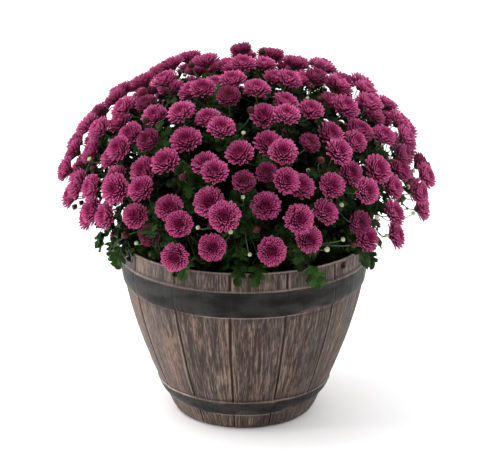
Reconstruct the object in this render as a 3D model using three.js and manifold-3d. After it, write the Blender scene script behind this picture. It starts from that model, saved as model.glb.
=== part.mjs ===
// A pot chrysanthemum (garden mum) in flower, planted in a half-barrel pot moulded in resin.
// Millimetres, +Z up. The origin is the centre of the flat underside that the pot stands on.
//
// The plant is built as it grows. Leafy stems rise from holes in the potting soil and fork inside the
// bush. Each fork ends in a foot that carries one spray: a cluster of double flower heads and half-open
// buds on thin stalks. Every position inside the bush is a direction from one heart point and a share
// of the way out to the dome of flowers. Each member keeps to the cell of directions nearest its own
// axis, and stems, leaves and stalks keep to shells of their own, so no two members cross.

import * as THREE from "three";
import Module from "manifold-3d";

const wasm = await Module();
wasm.setup();

// ---- driving dimensions -------------------------------------------------------------------------

const FIT_GAP = 0.3; // between pieces that rest on each other

const POT = {
  height: 240,
  // Bearings of the seams between staves, in degrees to the right of the front.
  seams: [-59.5, -32.5, -6.3, 19.4, 45.2, 71.5, 99.5, 127.5, 155.5, 183.5, 211.5, 239.5, 267.5],
  grooveHalfAngle: THREE.MathUtils.degToRad(1.1),
  grooveDepth: 1.6,
  bandProud: 1.8,
  bandEdge: 1.2, // height of the slope at a band's edge
  lowerBand: [25, 47],
  upperBand: [180, 216],
  // Radius of the staves' outer face at each height: a belly that closes in to a rounded foot.
  outside: [
    [0, 93],
    [4, 96],
    [10, 99.2],
    [25, 105.8],
    [47, 117],
    [85, 132.4],
    [130, 147.5],
    [180, 159.7],
    [216, 163.8],
    [240, 164.3],
  ],
  inside: [
    [6, 87],
    [20, 95],
    [85, 122.5],
    [150, 145],
    [240, 160.5],
  ],
};

const SOIL = {
  top: 214,
  crown: 6, // how far the middle stands above the edge
  holeDepth: 40,
  holeRadius: 5,
};

const HEART = new THREE.Vector3(0, 0, 233); // the point that the stems fan out from

const DOME = {
  radius: 230,
  centreZ: 297,
  rise: 177, // from the widest level up to the top flower
  drop: 62, // from the widest level down to where the dome would close
  lastTheta: THREE.MathUtils.degToRad(112),
  thinFrom: THREE.MathUtils.degToRad(72), // flowers thin out below this
  thinTo: 0.2,
  steps: 224,
};

const HEADS = {
  count: 230,
  turn: 3.76,
  budEvery: 9,
  budOffset: 4,
  radius: [18, 21.5],
  smallest: 16,
  slide: 8, // how far a head may sit from its even place
  lift: [-17, 11],
  lowLift: 4, // more for the lowest heads, which reach out on long stalks
  tilt: 0.2,
  upturn: 0.14,
  stagger: 15, // height between two heads that overlap as seen from outside
  leastAcross: 0.7, // of their two radii
  stalkGap: 2.5,
  leastTurn: THREE.MathUtils.degToRad(20), // between two stalks round their spray
  stalkSteps: 12,
  draws: 200,
};

const BLOOM = {
  petals: 6,
  valley: 0.8, // of the radius, between two outer petals
  valleyRise: 0.6,
  innerRadius: 0.6,
  innerRise: 7.6,
  eyeRise: 9.4,
  baseDrop: 9.5,
};

const BUD = { radius: 7, sides: 6, waist: 5, height: 12, baseDrop: 1 };

const SPRAYS = {
  count: 44,
  turn: 0.9,
  foot: 0.79, // share of the way out at which a spray stands on its branch
  stubLength: 9,
  stubRadius: 2.6,
  crown: 1.4, // rise of the stub's pointed top, which the stalks leave from
  facetPull: 0.8, // how far a facet turns from its even place towards its head
};
const STALK = { radius: 1.3, sides: 3 };

const STEMS = {
  count: 12,
  turn: 1.24,
  holeSpread: 13.5,
  trunkRadius: [4, 3.1],
  branchRadius: 2.2,
  hub: 0.43, // share of the way out at which the core begins
  bendRise: 6,
  branchRoot: 5, // height of the swelling where a branch leaves the core
};

// The leafy heart of each stem, which fills the bush behind the leaves.
const CORE = {
  sides: 10,
  notch: 0.74, // every second corner draws in, so that the clump has a leafy outline
  widest: THREE.MathUtils.degToRad(30),
  // Share of the way out, and spread as a share of the stem's own cell of directions.
  rings: [
    [0.46, 0.4],
    [0.57, 0.92],
    [0.66, 0.6],
  ],
  top: 0.672,
};

const LEAF = {
  perBranch: 2,
  longest: 44,
  reach: 0.9, // of the cell of directions that the leaf lies in
  thickness: 1,
  at: 0.715, // share of the way out at which leaves part from a branch
  nodeLength: 4,
  // Place along the midrib and half width, both as shares of the length: lobe, notch, lobe.
  outline: [
    [0.42, 0.36],
    [0.56, 0.19],
    [0.74, 0.29],
  ],
  arch: 0.2,
};

const RIM_LEAF = {
  belowElevation: THREE.MathUtils.degToRad(28),
  length: 50,
  // Radius and height of the midrib's further control points: out over the rim, and down.
  midrib: [
    [178, 262],
    [197, 254],
    [201, 236],
  ],
};

const SEED = 446;

const COLOURS = {
  resin: { color: 0x6f5a50, roughness: 0.62, metalness: 0 },
  soil: { color: 0x2b211a, roughness: 0.95, metalness: 0 },
  foliage: { color: 0x35592b, roughness: 0.6, metalness: 0 },
  petals: { color: 0xa23a78, roughness: 0.65, metalness: 0 },
};

// ---- seeded draws -------------------------------------------------------------------------------

// A linear congruential generator, so that the same bush grows every time.
function makeRandom(seed) {
  let state = seed >>> 0;
  return (low = 0, high = 1) => {
    state = (Math.imul(state, 1664525) + 1013904223) >>> 0;
    return low + (high - low) * (state / 4294967296);
  };
}

// ---- solids that grow from their faces -----------------------------------------------------------

// A closed surface of flat faces. Any face can be raised to a new ring of corners, so stalks, leaves
// and branches grow out of what carries them and all of it stays one body.
class Growth {
  constructor(ring) {
    this.corners = [];
    this.faces = new Set();
    const start = this.addCorners(ring);
    this.addFace(start.toReversed());
    this.end = this.addFace(start);
  }

  addCorners(ring) {
    return ring.map((point) => this.corners.push(point) - 1);
  }

  addFace(face) {
    if (face.length > 2) this.faces.add(face);
    return face;
  }

  pointsOf(face) {
    return face.map((id) => this.corners[id]);
  }

  centreOf(face) {
    const sum = new THREE.Vector3();
    for (const point of this.pointsOf(face)) sum.add(point);
    return sum.divideScalar(face.length);
  }

  normalOf(face) {
    const [a, b, c, d = a] = this.pointsOf(face);
    return c.clone().sub(a).cross(d.clone().sub(b)).normalize();
  }

  // Raises a face to a ring, whose corners run the same way round from the same side. The ring may
  // have more or fewer corners than the face, and one corner makes a tip.
  raise(face, ring) {
    this.faces.delete(face);
    const end = this.addCorners(ring);
    const sides = [];
    const quads = face.length === end.length;
    let i = face.length === 1 ? 1 : 0;
    let j = end.length === 1 ? 1 : 0;
    while (i < face.length || j < end.length) {
      const low = face[i % face.length];
      const high = end[j % end.length];
      const nextLow = face[(i + 1) % face.length];
      const nextHigh = end[(j + 1) % end.length];
      if (quads) {
        sides.push(this.addFace([low, nextLow, nextHigh, high]));
        i++;
        j++;
      } else if (j >= end.length || (i < face.length && (i + 1) / face.length <= (j + 1) / end.length)) {
        sides.push(this.addFace([low, nextLow, high]));
        i++;
      } else {
        sides.push(this.addFace([low, nextHigh, high]));
        j++;
      }
    }
    return { sides, end: this.addFace(end) };
  }

  raiseAll(face, rings) {
    return rings.reduce((end, ring) => this.raise(end, ring).end, face);
  }

  geometry() {
    const positions = this.corners.flatMap((point) => point.toArray());
    const triangles = [];
    for (const face of this.faces) {
      for (let i = 1; i + 1 < face.length; i++) triangles.push(face[0], face[i], face[i + 1]);
    }
    const geometry = new THREE.BufferGeometry();
    geometry.setAttribute("position", new THREE.Float32BufferAttribute(positions, 3));
    geometry.setIndex(triangles);
    geometry.computeVertexNormals();
    return geometry;
  }
}

// Joins rings of corners, each counter-clockwise as seen from the last one, into one closed surface.
function loft([first, ...rings]) {
  const solid = new Growth(first);
  solid.raiseAll(solid.end, rings);
  return solid.geometry();
}

// A closed geometry as a solid that can be cut.
function solidOf(geometry) {
  return new wasm.Manifold(
    new wasm.Mesh({
      numProp: 3,
      vertProperties: geometry.attributes.position.array,
      triVerts: new Uint32Array(geometry.index.array),
    }),
  );
}

function geometryOf(solid) {
  const mesh = solid.getMesh();
  const geometry = new THREE.BufferGeometry();
  geometry.setAttribute("position", new THREE.BufferAttribute(mesh.vertProperties, 3));
  geometry.setIndex(new THREE.BufferAttribute(mesh.triVerts, 1));
  geometry.computeVertexNormals();
  return geometry;
}

function meshOf(name, geometry, finish) {
  const mesh = new THREE.Mesh(geometry, new THREE.MeshStandardMaterial(finish));
  mesh.name = name;
  return mesh;
}

// ---- directions and rings -----------------------------------------------------------------------

const along = (start, direction, distance) => start.clone().addScaledVector(direction, distance);
const unitFrom = (start, end) => end.clone().sub(start).normalize();

// Two unit vectors square to a direction, the first as near as possible to a wanted one.
function across(direction, wanted) {
  const u = wanted.clone().addScaledVector(direction, -wanted.dot(direction)).normalize();
  return [u, direction.clone().cross(u)];
}

// The level unit vector that runs round the plant, square to a direction from the heart.
function roundTheBush(direction) {
  const flat = Math.hypot(direction.x, direction.y);
  return flat < 1e-6
    ? new THREE.Vector3(0, 1, 0)
    : new THREE.Vector3(-direction.y / flat, direction.x / flat, 0);
}

function circle(centre, direction, wanted, radius, sides) {
  const [u, v] = across(direction, wanted);
  return Array.from({ length: sides }, (_, i) => {
    const angle = (2 * Math.PI * i) / sides;
    return along(along(centre, u, radius * Math.cos(angle)), v, radius * Math.sin(angle));
  });
}

// The rings of a tapering stem through given points.
function stemRings(points, [startRadius, endRadius], sides, wanted) {
  const last = points.length - 1;
  return points.map((point, i) => {
    const direction = unitFrom(points[Math.max(i - 1, 0)], points[Math.min(i + 1, last)]);
    const radius = THREE.MathUtils.lerp(startRadius, endRadius, i / last);
    return circle(point, direction, wanted, radius, sides);
  });
}

// ---- where things grow on the dome --------------------------------------------------------------

function domePoint(theta, phi) {
  const reach = Math.cos(theta) > 0 ? DOME.rise : DOME.drop;
  return new THREE.Vector3(
    DOME.radius * Math.sin(theta) * Math.cos(phi),
    DOME.radius * Math.sin(theta) * Math.sin(phi),
    DOME.centreZ + reach * Math.cos(theta),
  );
}

// Running total of the dome's area from the top down, weighted by how closely flowers stand there.
function domeShares() {
  const step = DOME.lastTheta / DOME.steps;
  const totals = [0];
  for (let i = 0; i < DOME.steps; i++) {
    const theta = (i + 0.5) * step;
    const reach = Math.cos(theta) > 0 ? DOME.rise : DOME.drop;
    const slope = Math.hypot(DOME.radius * Math.cos(theta), reach * Math.sin(theta));
    const low = Math.max(0, (theta - DOME.thinFrom) / (DOME.lastTheta - DOME.thinFrom));
    const weight = 1 + (DOME.thinTo - 1) * low;
    totals.push(totals[i] + Math.sin(theta) * slope * weight);
  }
  return totals.map((total) => total / totals[DOME.steps]);
}

const SHARES = domeShares();
const GOLDEN_ANGLE = Math.PI * (3 - Math.sqrt(5));

// Place number i of count on a golden-angle spiral that shares the dome out evenly.
function domeSite(i, count, turn) {
  const share = (i + 0.5) / count;
  const k = SHARES.findIndex((total) => total >= share);
  const part = (share - SHARES[k - 1]) / (SHARES[k] - SHARES[k - 1]);
  const theta = ((k - 1 + part) * DOME.lastTheta) / DOME.steps;
  return { theta, phi: i * GOLDEN_ANGLE + turn };
}

// A member's axis: its direction from the heart, and the full reach to the dome that way.
function axisAt(i, count, turn) {
  const { theta, phi } = domeSite(i, count, turn);
  const point = domePoint(theta, phi);
  const direction = unitFrom(HEART, point);
  const reach = point.distanceTo(HEART);
  return { direction, reach, at: (share) => along(HEART, direction, reach * share) };
}

const nearest = (direction, axes) =>
  axes.reduce((best, axis, i) => {
    return axis.direction.dot(direction) > axes[best].direction.dot(direction) ? i : best;
  }, 0);

// ---- flower heads -------------------------------------------------------------------------------

// Whether a head stands clear of another: side by side, or one well above the other.
function standsClear(head, other) {
  const up = head.axis.clone().add(other.axis).normalize();
  const offset = head.centre.clone().sub(other.centre);
  const rise = offset.dot(up);
  const apart = Math.sqrt(Math.max(0, offset.lengthSq() - rise * rise));
  const reach = head.radius + other.radius;
  if (apart >= reach + 1) return true;
  return apart >= HEADS.leastAcross * reach && Math.abs(rise) >= HEADS.stagger;
}

// Angle round a spray's axis at which a point stands.
function bearing(axis, point) {
  const [u, v] = across(axis.direction, roundTheBush(axis.direction));
  const offset = point.clone().sub(axis.at(SPRAYS.foot));
  return Math.atan2(offset.dot(v), offset.dot(u));
}

// Whether a head's stalk passes clear of another head on the same spray, and of its stalk.
function stalkClears(head, other) {
  if (head.home !== other.home) return true;
  const turn = bearing(sprayAxes[head.home], head.centre) - bearing(sprayAxes[head.home], other.centre);
  if (Math.cos(turn) > Math.cos(HEADS.leastTurn)) return false;
  const root = along(sprayAxes[head.home].at(SPRAYS.foot), sprayAxes[head.home].direction, SPRAYS.stubLength);
  const base = along(head.centre, head.axis, -BLOOM.baseDrop);
  for (let step = 1; step <= HEADS.stalkSteps; step++) {
    const offset = root.clone().lerp(base, step / HEADS.stalkSteps).sub(other.centre);
    const rise = offset.dot(other.axis);
    const apart = Math.sqrt(Math.max(0, offset.lengthSq() - rise * rise));
    // The underside of a head is a cone from its cup out to its petal tips.
    const under = (-BLOOM.baseDrop * (other.radius - apart)) / other.radius;
    if (apart < other.radius + HEADS.stalkGap && rise > under - HEADS.stalkGap) return false;
  }
  return true;
}

function drawHead(i, random, freedom) {
  const up = new THREE.Vector3(0, 0, 1);
  const { theta, phi } = domeSite(i, HEADS.count, HEADS.turn);
  const even = domePoint(theta, phi);
  const outward = unitFrom(HEART, even);
  const [u, v] = across(outward, roundTheBush(outward));
  const slide = HEADS.slide * (2 - freedom);
  const lift = random(...HEADS.lift) + (HEADS.lowLift * theta) / DOME.lastTheta;
  const aside = along(along(even, u, random(-slide, slide)), v, random(-slide, slide));
  const centre = along(aside, outward, lift);
  const axis = unitFrom(HEART, centre)
    .addScaledVector(up, HEADS.upturn)
    .addScaledVector(u, random(-HEADS.tilt, HEADS.tilt))
    .addScaledVector(v, random(-HEADS.tilt, HEADS.tilt))
    .normalize();
  const full = THREE.MathUtils.lerp(HEADS.smallest, random(...HEADS.radius), freedom);
  const isBud = i % HEADS.budEvery === HEADS.budOffset;
  const home = nearest(unitFrom(HEART, centre), sprayAxes);
  return { centre, axis, isBud, home, radius: isBud ? BUD.radius : full };
}

// Heads are placed one after another. Each is drawn near its even place on the dome, and drawn again,
// smaller and with more play, until it stands clear of those before it.
function placeHeads() {
  const random = makeRandom(SEED);
  const heads = [];
  for (let i = 0; i < HEADS.count; i++) {
    let head;
    for (let draw = 0; draw < HEADS.draws; draw++) {
      head = drawHead(i, random, 1 - draw / HEADS.draws);
      const clears = (other) =>
        standsClear(head, other) && stalkClears(head, other) && stalkClears(other, head);
      if (heads.every(clears)) break;
    }
    heads.push(head);
  }
  return heads;
}

// The upper end of a stalk, turned half way from the stalk's line into the head's axis.
function stalkEnd(base, axis, root, wanted) {
  return circle(base, unitFrom(root, base).add(axis).normalize(), wanted, STALK.radius, STALK.sides);
}

// The rings of an open flower, from the green cup at its base out to the petal tips and in again.
function bloomRings({ centre, axis, radius }, root, wanted) {
  const [u, v] = across(axis, wanted);
  const place = (angle, r, rise) =>
    along(along(along(centre, u, r * Math.cos(angle)), v, r * Math.sin(angle)), axis, rise);
  const outer = [];
  const inner = [];
  for (let k = 0; k < BLOOM.petals; k++) {
    const angle = (2 * Math.PI * k) / BLOOM.petals;
    const between = angle + Math.PI / BLOOM.petals;
    outer.push(place(angle, radius, 0));
    outer.push(place(between, radius * BLOOM.valley, BLOOM.valleyRise));
    inner.push(place(between, radius * BLOOM.innerRadius, BLOOM.innerRise));
  }
  return [
    stalkEnd(along(centre, axis, -BLOOM.baseDrop), axis, root, wanted),
    outer,
    inner,
    [along(centre, axis, BLOOM.eyeRise)],
  ];
}

// The rings of a half-open bud: a rounded body that narrows to its closed petals.
function budRings({ centre, axis }, root, wanted) {
  return [
    stalkEnd(along(centre, axis, -BUD.baseDrop), axis, root, wanted),
    circle(along(centre, axis, BUD.waist), axis, wanted, BUD.radius, BUD.sides),
    [along(centre, axis, BUD.height)],
  ];
}

// Bearings of the corners of a stub, so that each head has a facet on its own side. A head's facet is
// drawn from its even share of the round towards the head's bearing.
function stubCorners(bearings) {
  const sides = Math.max(3, bearings.length);
  const facet = (2 * Math.PI) / sides;
  const evenly = Array.from({ length: sides }, (_, k) => (k + 0.5) * facet);
  const sum = (values) => values.reduce((total, value) => total + value, 0);
  const drift = bearings.map((bearing, k) => bearing - evenly[k]);
  const turn = Math.atan2(sum(drift.map(Math.sin)), sum(drift.map(Math.cos)));
  const middles = evenly.map((even, k) => {
    const off = (drift[k] ?? turn) - turn;
    return even + turn + SPRAYS.facetPull * Math.atan2(Math.sin(off), Math.cos(off));
  });
  return middles.map((middle, k) => {
    const before = k ? middles[k - 1] : middles[sides - 1] - 2 * Math.PI;
    return (before + middle) / 2;
  });
}

// One spray: a short stub that stands on its branch, with a stalk to each head from a facet of its
// pointed top. The heads take the facets in the order in which they stand round the stub.
function spray(axis, heads) {
  const [u, v] = across(axis.direction, roundTheBush(axis.direction));
  const foot = along(axis.at(SPRAYS.foot), axis.direction, FIT_GAP);
  const turnOf = ({ centre }) => bearing(axis, centre);
  const ordered = heads.toSorted((a, b) => turnOf(a) - turnOf(b));
  const corners = stubCorners(ordered.map(turnOf));
  const ring = (centre) =>
    corners.map((angle) => {
      const side = u.clone().multiplyScalar(Math.cos(angle)).addScaledVector(v, Math.sin(angle));
      return along(centre, side, SPRAYS.stubRadius);
    });
  const top = along(foot, axis.direction, SPRAYS.stubLength);
  const solid = new Growth(ring(foot));
  const shoulder = solid.raise(solid.end, ring(top)).end;
  const facets = solid.raise(shoulder, [along(top, axis.direction, SPRAYS.crown)]).sides;
  ordered.forEach((head, k) => {
    const root = solid.centreOf(facets[k]);
    const wanted = unitFrom(root, solid.pointsOf(facets[k])[0]);
    solid.raiseAll(facets[k], (head.isBud ? budRings : bloomRings)(head, root, wanted));
  });
  return solid.geometry();
}

// ---- leafy stems --------------------------------------------------------------------------------

// The rings of a lobed leaf, from its first lobes to its point: a thin blade, flat across, that
// arches along its midrib.
function leafRings(midrib, length, side) {
  const rings = LEAF.outline.map(([place, halfWidth]) => {
    const point = midrib.getPoint(place);
    const face = midrib.getTangent(place).cross(side).normalize();
    const corner = (reach, rise) =>
      along(along(point, side, reach * halfWidth * length), face, rise * (LEAF.thickness / 2));
    return [corner(-1, -1), corner(1, -1), corner(1, 1), corner(-1, 1)];
  });
  return [...rings, [midrib.getPoint(1)]];
}

// Turns a ring so that its corners start as near as possible to those of the face it grows from.
function matched(ring, solid, face) {
  const from = solid.pointsOf(face).map((point) => point.clone().sub(solid.centreOf(face)));
  const centre = ring.reduce((total, point) => total.add(point), new THREE.Vector3());
  centre.divideScalar(ring.length);
  const fit = (turn) =>
    from.reduce((total, point, k) => {
      return total + point.dot(unitFrom(centre, ring[(k + turn) % ring.length]));
    }, 0);
  const best = ring.map((_, turn) => turn).reduce((a, b) => (fit(b) > fit(a) ? b : a));
  return ring.map((_, k) => ring[(k + best) % ring.length]);
}

function growLeaf(solid, face, midrib, length, side) {
  const [first, ...rest] = leafRings(midrib, length, side);
  const start = matched(first, solid, face);
  const turn = first.indexOf(start[0]);
  const turned = (ring) => ring.map((_, k) => ring[(k + turn) % ring.length]);
  solid.raiseAll(face, [start, ...rest.map(turned)]);
}

// A leaf that spreads in the shell under the sprays, square to its branch, as long as its cell allows.
function growShellLeaf(solid, face, axis) {
  const start = solid.centreOf(face);
  const out = unitFrom(HEART, start);
  const [ahead, side] = across(out, unitFrom(axis.at(LEAF.at), start));
  const room = Math.tan(cellReach(axis, ahead, sprayAxes) * LEAF.reach) * start.distanceTo(HEART);
  const length = Math.min(LEAF.longest, room);
  const middle = along(along(start, ahead, 0.5 * length), out, LEAF.arch * length);
  const tip = along(start, ahead, length);
  growLeaf(solid, face, new THREE.QuadraticBezierCurve3(start, middle, tip), length, side);
}

// A larger leaf that leaves a low branch and reaches out over the rim of the pot.
function growRimLeaf(solid, face, axis) {
  const outward = new THREE.Vector3(axis.direction.x, axis.direction.y, 0).normalize();
  const up = new THREE.Vector3(0, 0, 1);
  const points = RIM_LEAF.midrib.map(([r, z]) => outward.clone().multiplyScalar(r).addScaledVector(up, z));
  const midrib = new THREE.CubicBezierCurve3(solid.centreOf(face), ...points);
  growLeaf(solid, face, midrib, RIM_LEAF.length, up.clone().cross(outward));
}

// A branch from a facet of the core to the foot of a spray, with leaves at a node on the way.
function growBranch(solid, face, axis) {
  const centre = solid.centreOf(face);
  const wanted = solid.pointsOf(face)[0].clone().sub(centre);
  const node = axis.at(LEAF.at);
  const ring = (point, direction) => circle(point, direction, wanted, STEMS.branchRadius, 3);
  const out = solid.normalOf(face);
  const root = ring(along(centre, out, STEMS.branchRoot), out);
  const below = solid.raiseAll(face, [root, ring(node, axis.direction)]);
  const above = solid.raise(below, ring(along(node, axis.direction, LEAF.nodeLength), axis.direction));
  solid.raise(above.end, ring(axis.at(SPRAYS.foot), axis.direction));

  const heading = (side) => unitFrom(node, solid.centreOf(side));
  const room = (side) => cellReach(axis, across(axis.direction, heading(side))[0], sprayAxes);
  const isLow = Math.asin(axis.direction.z) < RIM_LEAF.belowElevation;
  if (isLow) {
    const [highest, , lowest] = above.sides.toSorted((a, b) => heading(b).z - heading(a).z);
    growShellLeaf(solid, highest, axis);
    growRimLeaf(solid, lowest, axis);
  } else {
    const roomiest = above.sides.toSorted((a, b) => room(b) - room(a)).slice(0, LEAF.perBranch);
    for (const side of roomiest) growShellLeaf(solid, side, axis);
  }
}

// Where stem number i stands in the soil, and its way up to its core.
function trunkLine(i, axis) {
  const spread = STEMS.holeSpread * Math.sqrt(i + 0.5);
  const flat = Math.hypot(axis.direction.x, axis.direction.y);
  const [x, y] = [(axis.direction.x / flat) * spread, (axis.direction.y / flat) * spread];
  const hub = axis.at(STEMS.hub);
  const foot = new THREE.Vector3(x, y, SOIL.top - SOIL.holeDepth + FIT_GAP);
  const collar = new THREE.Vector3(x, y, SOIL.top + SOIL.crown);
  const bend = collar.clone().lerp(hub, 0.5).add(new THREE.Vector3(0, 0, STEMS.bendRise));
  return [foot, collar, bend, hub];
}

// How far an axis's cell of directions reaches to one side. The cell ends half way to each neighbour,
// and at the level of the heart point, which is half way to the axis's own mirror image.
function cellReach(axis, side, neighbours) {
  const mirrored = axis.direction.clone().setZ(-axis.direction.z);
  const directions = neighbours.map((other) => other.direction);
  return [...directions, mirrored].reduce((least, other) => {
    const towards = side.dot(other);
    const apart = 1 - axis.direction.dot(other);
    return towards > 0 && apart > 1e-9 ? Math.min(least, Math.atan(apart / towards)) : least;
  }, CORE.widest);
}

function coreRings(axis) {
  const [u, v] = across(axis.direction, roundTheBush(axis.direction));
  return CORE.rings.map(([share, spread]) =>
    Array.from({ length: CORE.sides }, (_, k) => {
      const angle = (2 * Math.PI * k) / CORE.sides;
      const side = u.clone().multiplyScalar(Math.cos(angle)).addScaledVector(v, Math.sin(angle));
      const reach = cellReach(axis, side, stemAxes) * spread * (k % 2 ? CORE.notch : 1);
      const direction = axis.direction.clone().multiplyScalar(Math.cos(reach));
      return along(HEART, direction.addScaledVector(side, Math.sin(reach)), axis.reach * share);
    }),
  );
}

// A stem out of the soil, its leafy core, and a branch to each spray from the nearest free facet.
function leafyStem(i, axis, feet) {
  const trunk = stemRings(trunkLine(i, axis), STEMS.trunkRadius, 4, roundTheBush(axis.direction));
  const [underside, widest, shoulder] = coreRings(axis);
  const solid = new Growth(trunk[0]);
  const belly = solid.raiseAll(solid.end, [...trunk.slice(1), underside, widest]);
  const upper = solid.raise(belly, shoulder);
  const crown = solid.raise(upper.end, [axis.at(CORE.top)]);
  const free = new Set([...upper.sides, ...crown.sides]);
  for (const foot of feet) {
    const fit = (facet) => unitFrom(HEART, solid.centreOf(facet)).dot(foot.direction);
    const facet = [...free].reduce((a, b) => (fit(b) > fit(a) ? b : a));
    free.delete(facet);
    growBranch(solid, facet, foot);
  }
  return solid.geometry();
}

// ---- soil ---------------------------------------------------------------------------------------

// The seam and the middle of each stave, as angles from the right round to the back.
const STAVES = POT.seams.map((seam, k) => {
  const next = POT.seams[k + 1] ?? POT.seams[0] + 360;
  return [seam, (seam + next) / 2, next].map((bearing) => THREE.MathUtils.degToRad(bearing - 90));
});

// A level ring with a corner at each seam and at the middle of each stave.
function level(radius, heightAt) {
  return STAVES.flatMap(([seam, middle]) => [seam, middle]).map((angle) => {
    return new THREE.Vector3(radius * Math.cos(angle), radius * Math.sin(angle), heightAt(angle));
  });
}

// The potting soil fills the pot and has a plain hole for each stem.
function soil(trunks) {
  const ring = (z, radius, rise = () => 0) => level(radius - FIT_GAP, (angle) => z + rise(angle));
  const clods = (size) => (angle) => size * Math.sin(5 * angle) * Math.cos(3 * angle + 1);
  const floor = POT.inside[0][0] + FIT_GAP;
  const edge = radiusOn(POT.inside, SOIL.top);
  const below = POT.inside.filter(([z]) => z > floor && z < SOIL.top);
  let solid = solidOf(
    loft([
      [new THREE.Vector3(0, 0, floor)],
      ring(floor, POT.inside[0][1]),
      ...below.map(([z, radius]) => ring(z, radius)),
      ring(SOIL.top, edge, clods(1)),
      ring(SOIL.top + 0.7 * SOIL.crown, 0.55 * edge, clods(2.5)),
      [new THREE.Vector3(0, 0, SOIL.top + SOIL.crown)],
    ]),
  );
  const up = new THREE.Vector3(0, 0, 1);
  for (const [foot] of trunks) {
    const bottom = foot.clone().setZ(foot.z - FIT_GAP);
    const mouth = foot.clone().setZ(SOIL.top + 3 * SOIL.crown);
    const hole = stemRings([bottom, mouth], [SOIL.holeRadius, SOIL.holeRadius], 5, unitFrom(up, foot));
    solid = solid.subtract(solidOf(loft(hole)));
  }
  return geometryOf(solid);
}

// ---- pot ----------------------------------------------------------------------------------------

// Radius at a height, read off a profile of heights and radii.
function radiusOn(profile, z) {
  const k = Math.max(1, profile.findIndex(([height]) => height >= z));
  const [[z0, r0], [z1, r1]] = [profile[k - 1], profile[k]];
  return THREE.MathUtils.mapLinear(z, z0, z1, r0, r1);
}

// One moulding: staves parted by grooves, and two bands that stand proud and run over the grooves.
function pot() {
  const angles = STAVES.flatMap(([seam, middle, next]) => [
    [seam, true],
    [seam + POT.grooveHalfAngle, false],
    [middle, false],
    [next - POT.grooveHalfAngle, false],
  ]);
  const ring = (z, radius, grooved) =>
    angles.map(([angle, isSeam]) => {
      const r = radius - (isSeam && grooved ? POT.grooveDepth : 0);
      return new THREE.Vector3(r * Math.cos(angle), r * Math.sin(angle), z);
    });
  const outside = (z) => ring(z, radiusOn(POT.outside, z), true);
  const proud = (z) => ring(z, radiusOn(POT.outside, z) + POT.bandProud, false);
  const band = ([low, high]) => [
    outside(low - POT.bandEdge),
    proud(low),
    proud(high),
    outside(high + POT.bandEdge),
  ];
  const inside = POT.inside.map(([z, radius]) => level(radius, () => z));
  return loft([
    [new THREE.Vector3(0, 0, 0)],
    ring(0, POT.outside[0][1], false),
    ...[4, 10].map(outside),
    ...band(POT.lowerBand),
    ...[85, 130].map(outside),
    ...band(POT.upperBand),
    outside(POT.height),
    ...inside.toReversed(),
    [new THREE.Vector3(0, 0, POT.inside[0][0])],
  ]);
}

// ---- the whole plant ----------------------------------------------------------------------------

function axes(count, turn) {
  return Array.from({ length: count }, (_, i) => axisAt(i, count, turn));
}

const label = (word, i) => word + "_" + String(i + 1).padStart(2, "0");

const plant = new THREE.Group();
const sprayAxes = axes(SPRAYS.count, SPRAYS.turn);
const stemAxes = axes(STEMS.count, STEMS.turn);
const heads = placeHeads();

plant.add(meshOf("barrel_pot", pot(), COLOURS.resin));
plant.add(meshOf("potting_soil", soil(stemAxes.map((axis, i) => trunkLine(i, axis))), COLOURS.soil));

stemAxes.forEach((axis, i) => {
  const feet = sprayAxes.filter((foot) => nearest(foot.direction, stemAxes) === i);
  plant.add(meshOf(label("leafy_stem", i), leafyStem(i, axis, feet), COLOURS.foliage));
});

sprayAxes.forEach((axis, i) => {
  const own = heads.filter((head) => nearest(unitFrom(HEART, head.centre), sprayAxes) === i);
  plant.add(meshOf(label("spray", i), spray(axis, own), COLOURS.petals));
});

export default plant;
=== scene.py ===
"""A pot chrysanthemum in flower, in a half-barrel pot: the dressed model, built round its CAD frame.

Everything is worked out in millimetres and set down in metres, in the frame's own axes.
"""

import bpy
import numpy as np
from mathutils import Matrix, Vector


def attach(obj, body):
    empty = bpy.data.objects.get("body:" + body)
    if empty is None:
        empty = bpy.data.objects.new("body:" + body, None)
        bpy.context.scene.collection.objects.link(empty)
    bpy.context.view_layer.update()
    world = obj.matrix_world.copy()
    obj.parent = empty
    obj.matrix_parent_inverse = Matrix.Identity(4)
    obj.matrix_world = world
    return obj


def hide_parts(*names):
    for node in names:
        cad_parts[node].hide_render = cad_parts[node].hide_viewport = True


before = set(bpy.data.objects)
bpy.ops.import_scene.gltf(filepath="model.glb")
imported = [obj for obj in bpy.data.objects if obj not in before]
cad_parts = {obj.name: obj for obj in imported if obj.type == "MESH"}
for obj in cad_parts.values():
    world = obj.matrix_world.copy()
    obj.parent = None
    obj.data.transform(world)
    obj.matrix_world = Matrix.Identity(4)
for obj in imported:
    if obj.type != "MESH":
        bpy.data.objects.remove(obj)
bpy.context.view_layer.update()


# ---- the half-barrel pot -------------------------------------------------------------------------
# A rotation-moulded resin planter in the form of half a barrel: thirteen staves with embossed wood
# grain and two bands, one hollow moulding with a rolled lip. The brown resin is darker in its hollows
# and lighter on its ridges, partly from a dark wash and rubbing and partly as painted shade and painted
# highlight, and the bands are brushed with charcoal paint by hand.

POT_HEIGHT, POT_FLOOR = 240, 6.0
BANDS = [(25, 47), (180, 216)]
BAND_PROUD = 1.9
SET_IN = 0.35  # the mean surface stands this far inside the frame's, as room for the grain
SEAM_DEPTH, BAND_SEAM_DEPTH, VENT_DEPTH, FOOT_ROUNDING = 1.9, 0.35, 3.6, 2.2
VENT = (51.3, 231.5)  # bearing and height of the small square vent under the lip
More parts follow.
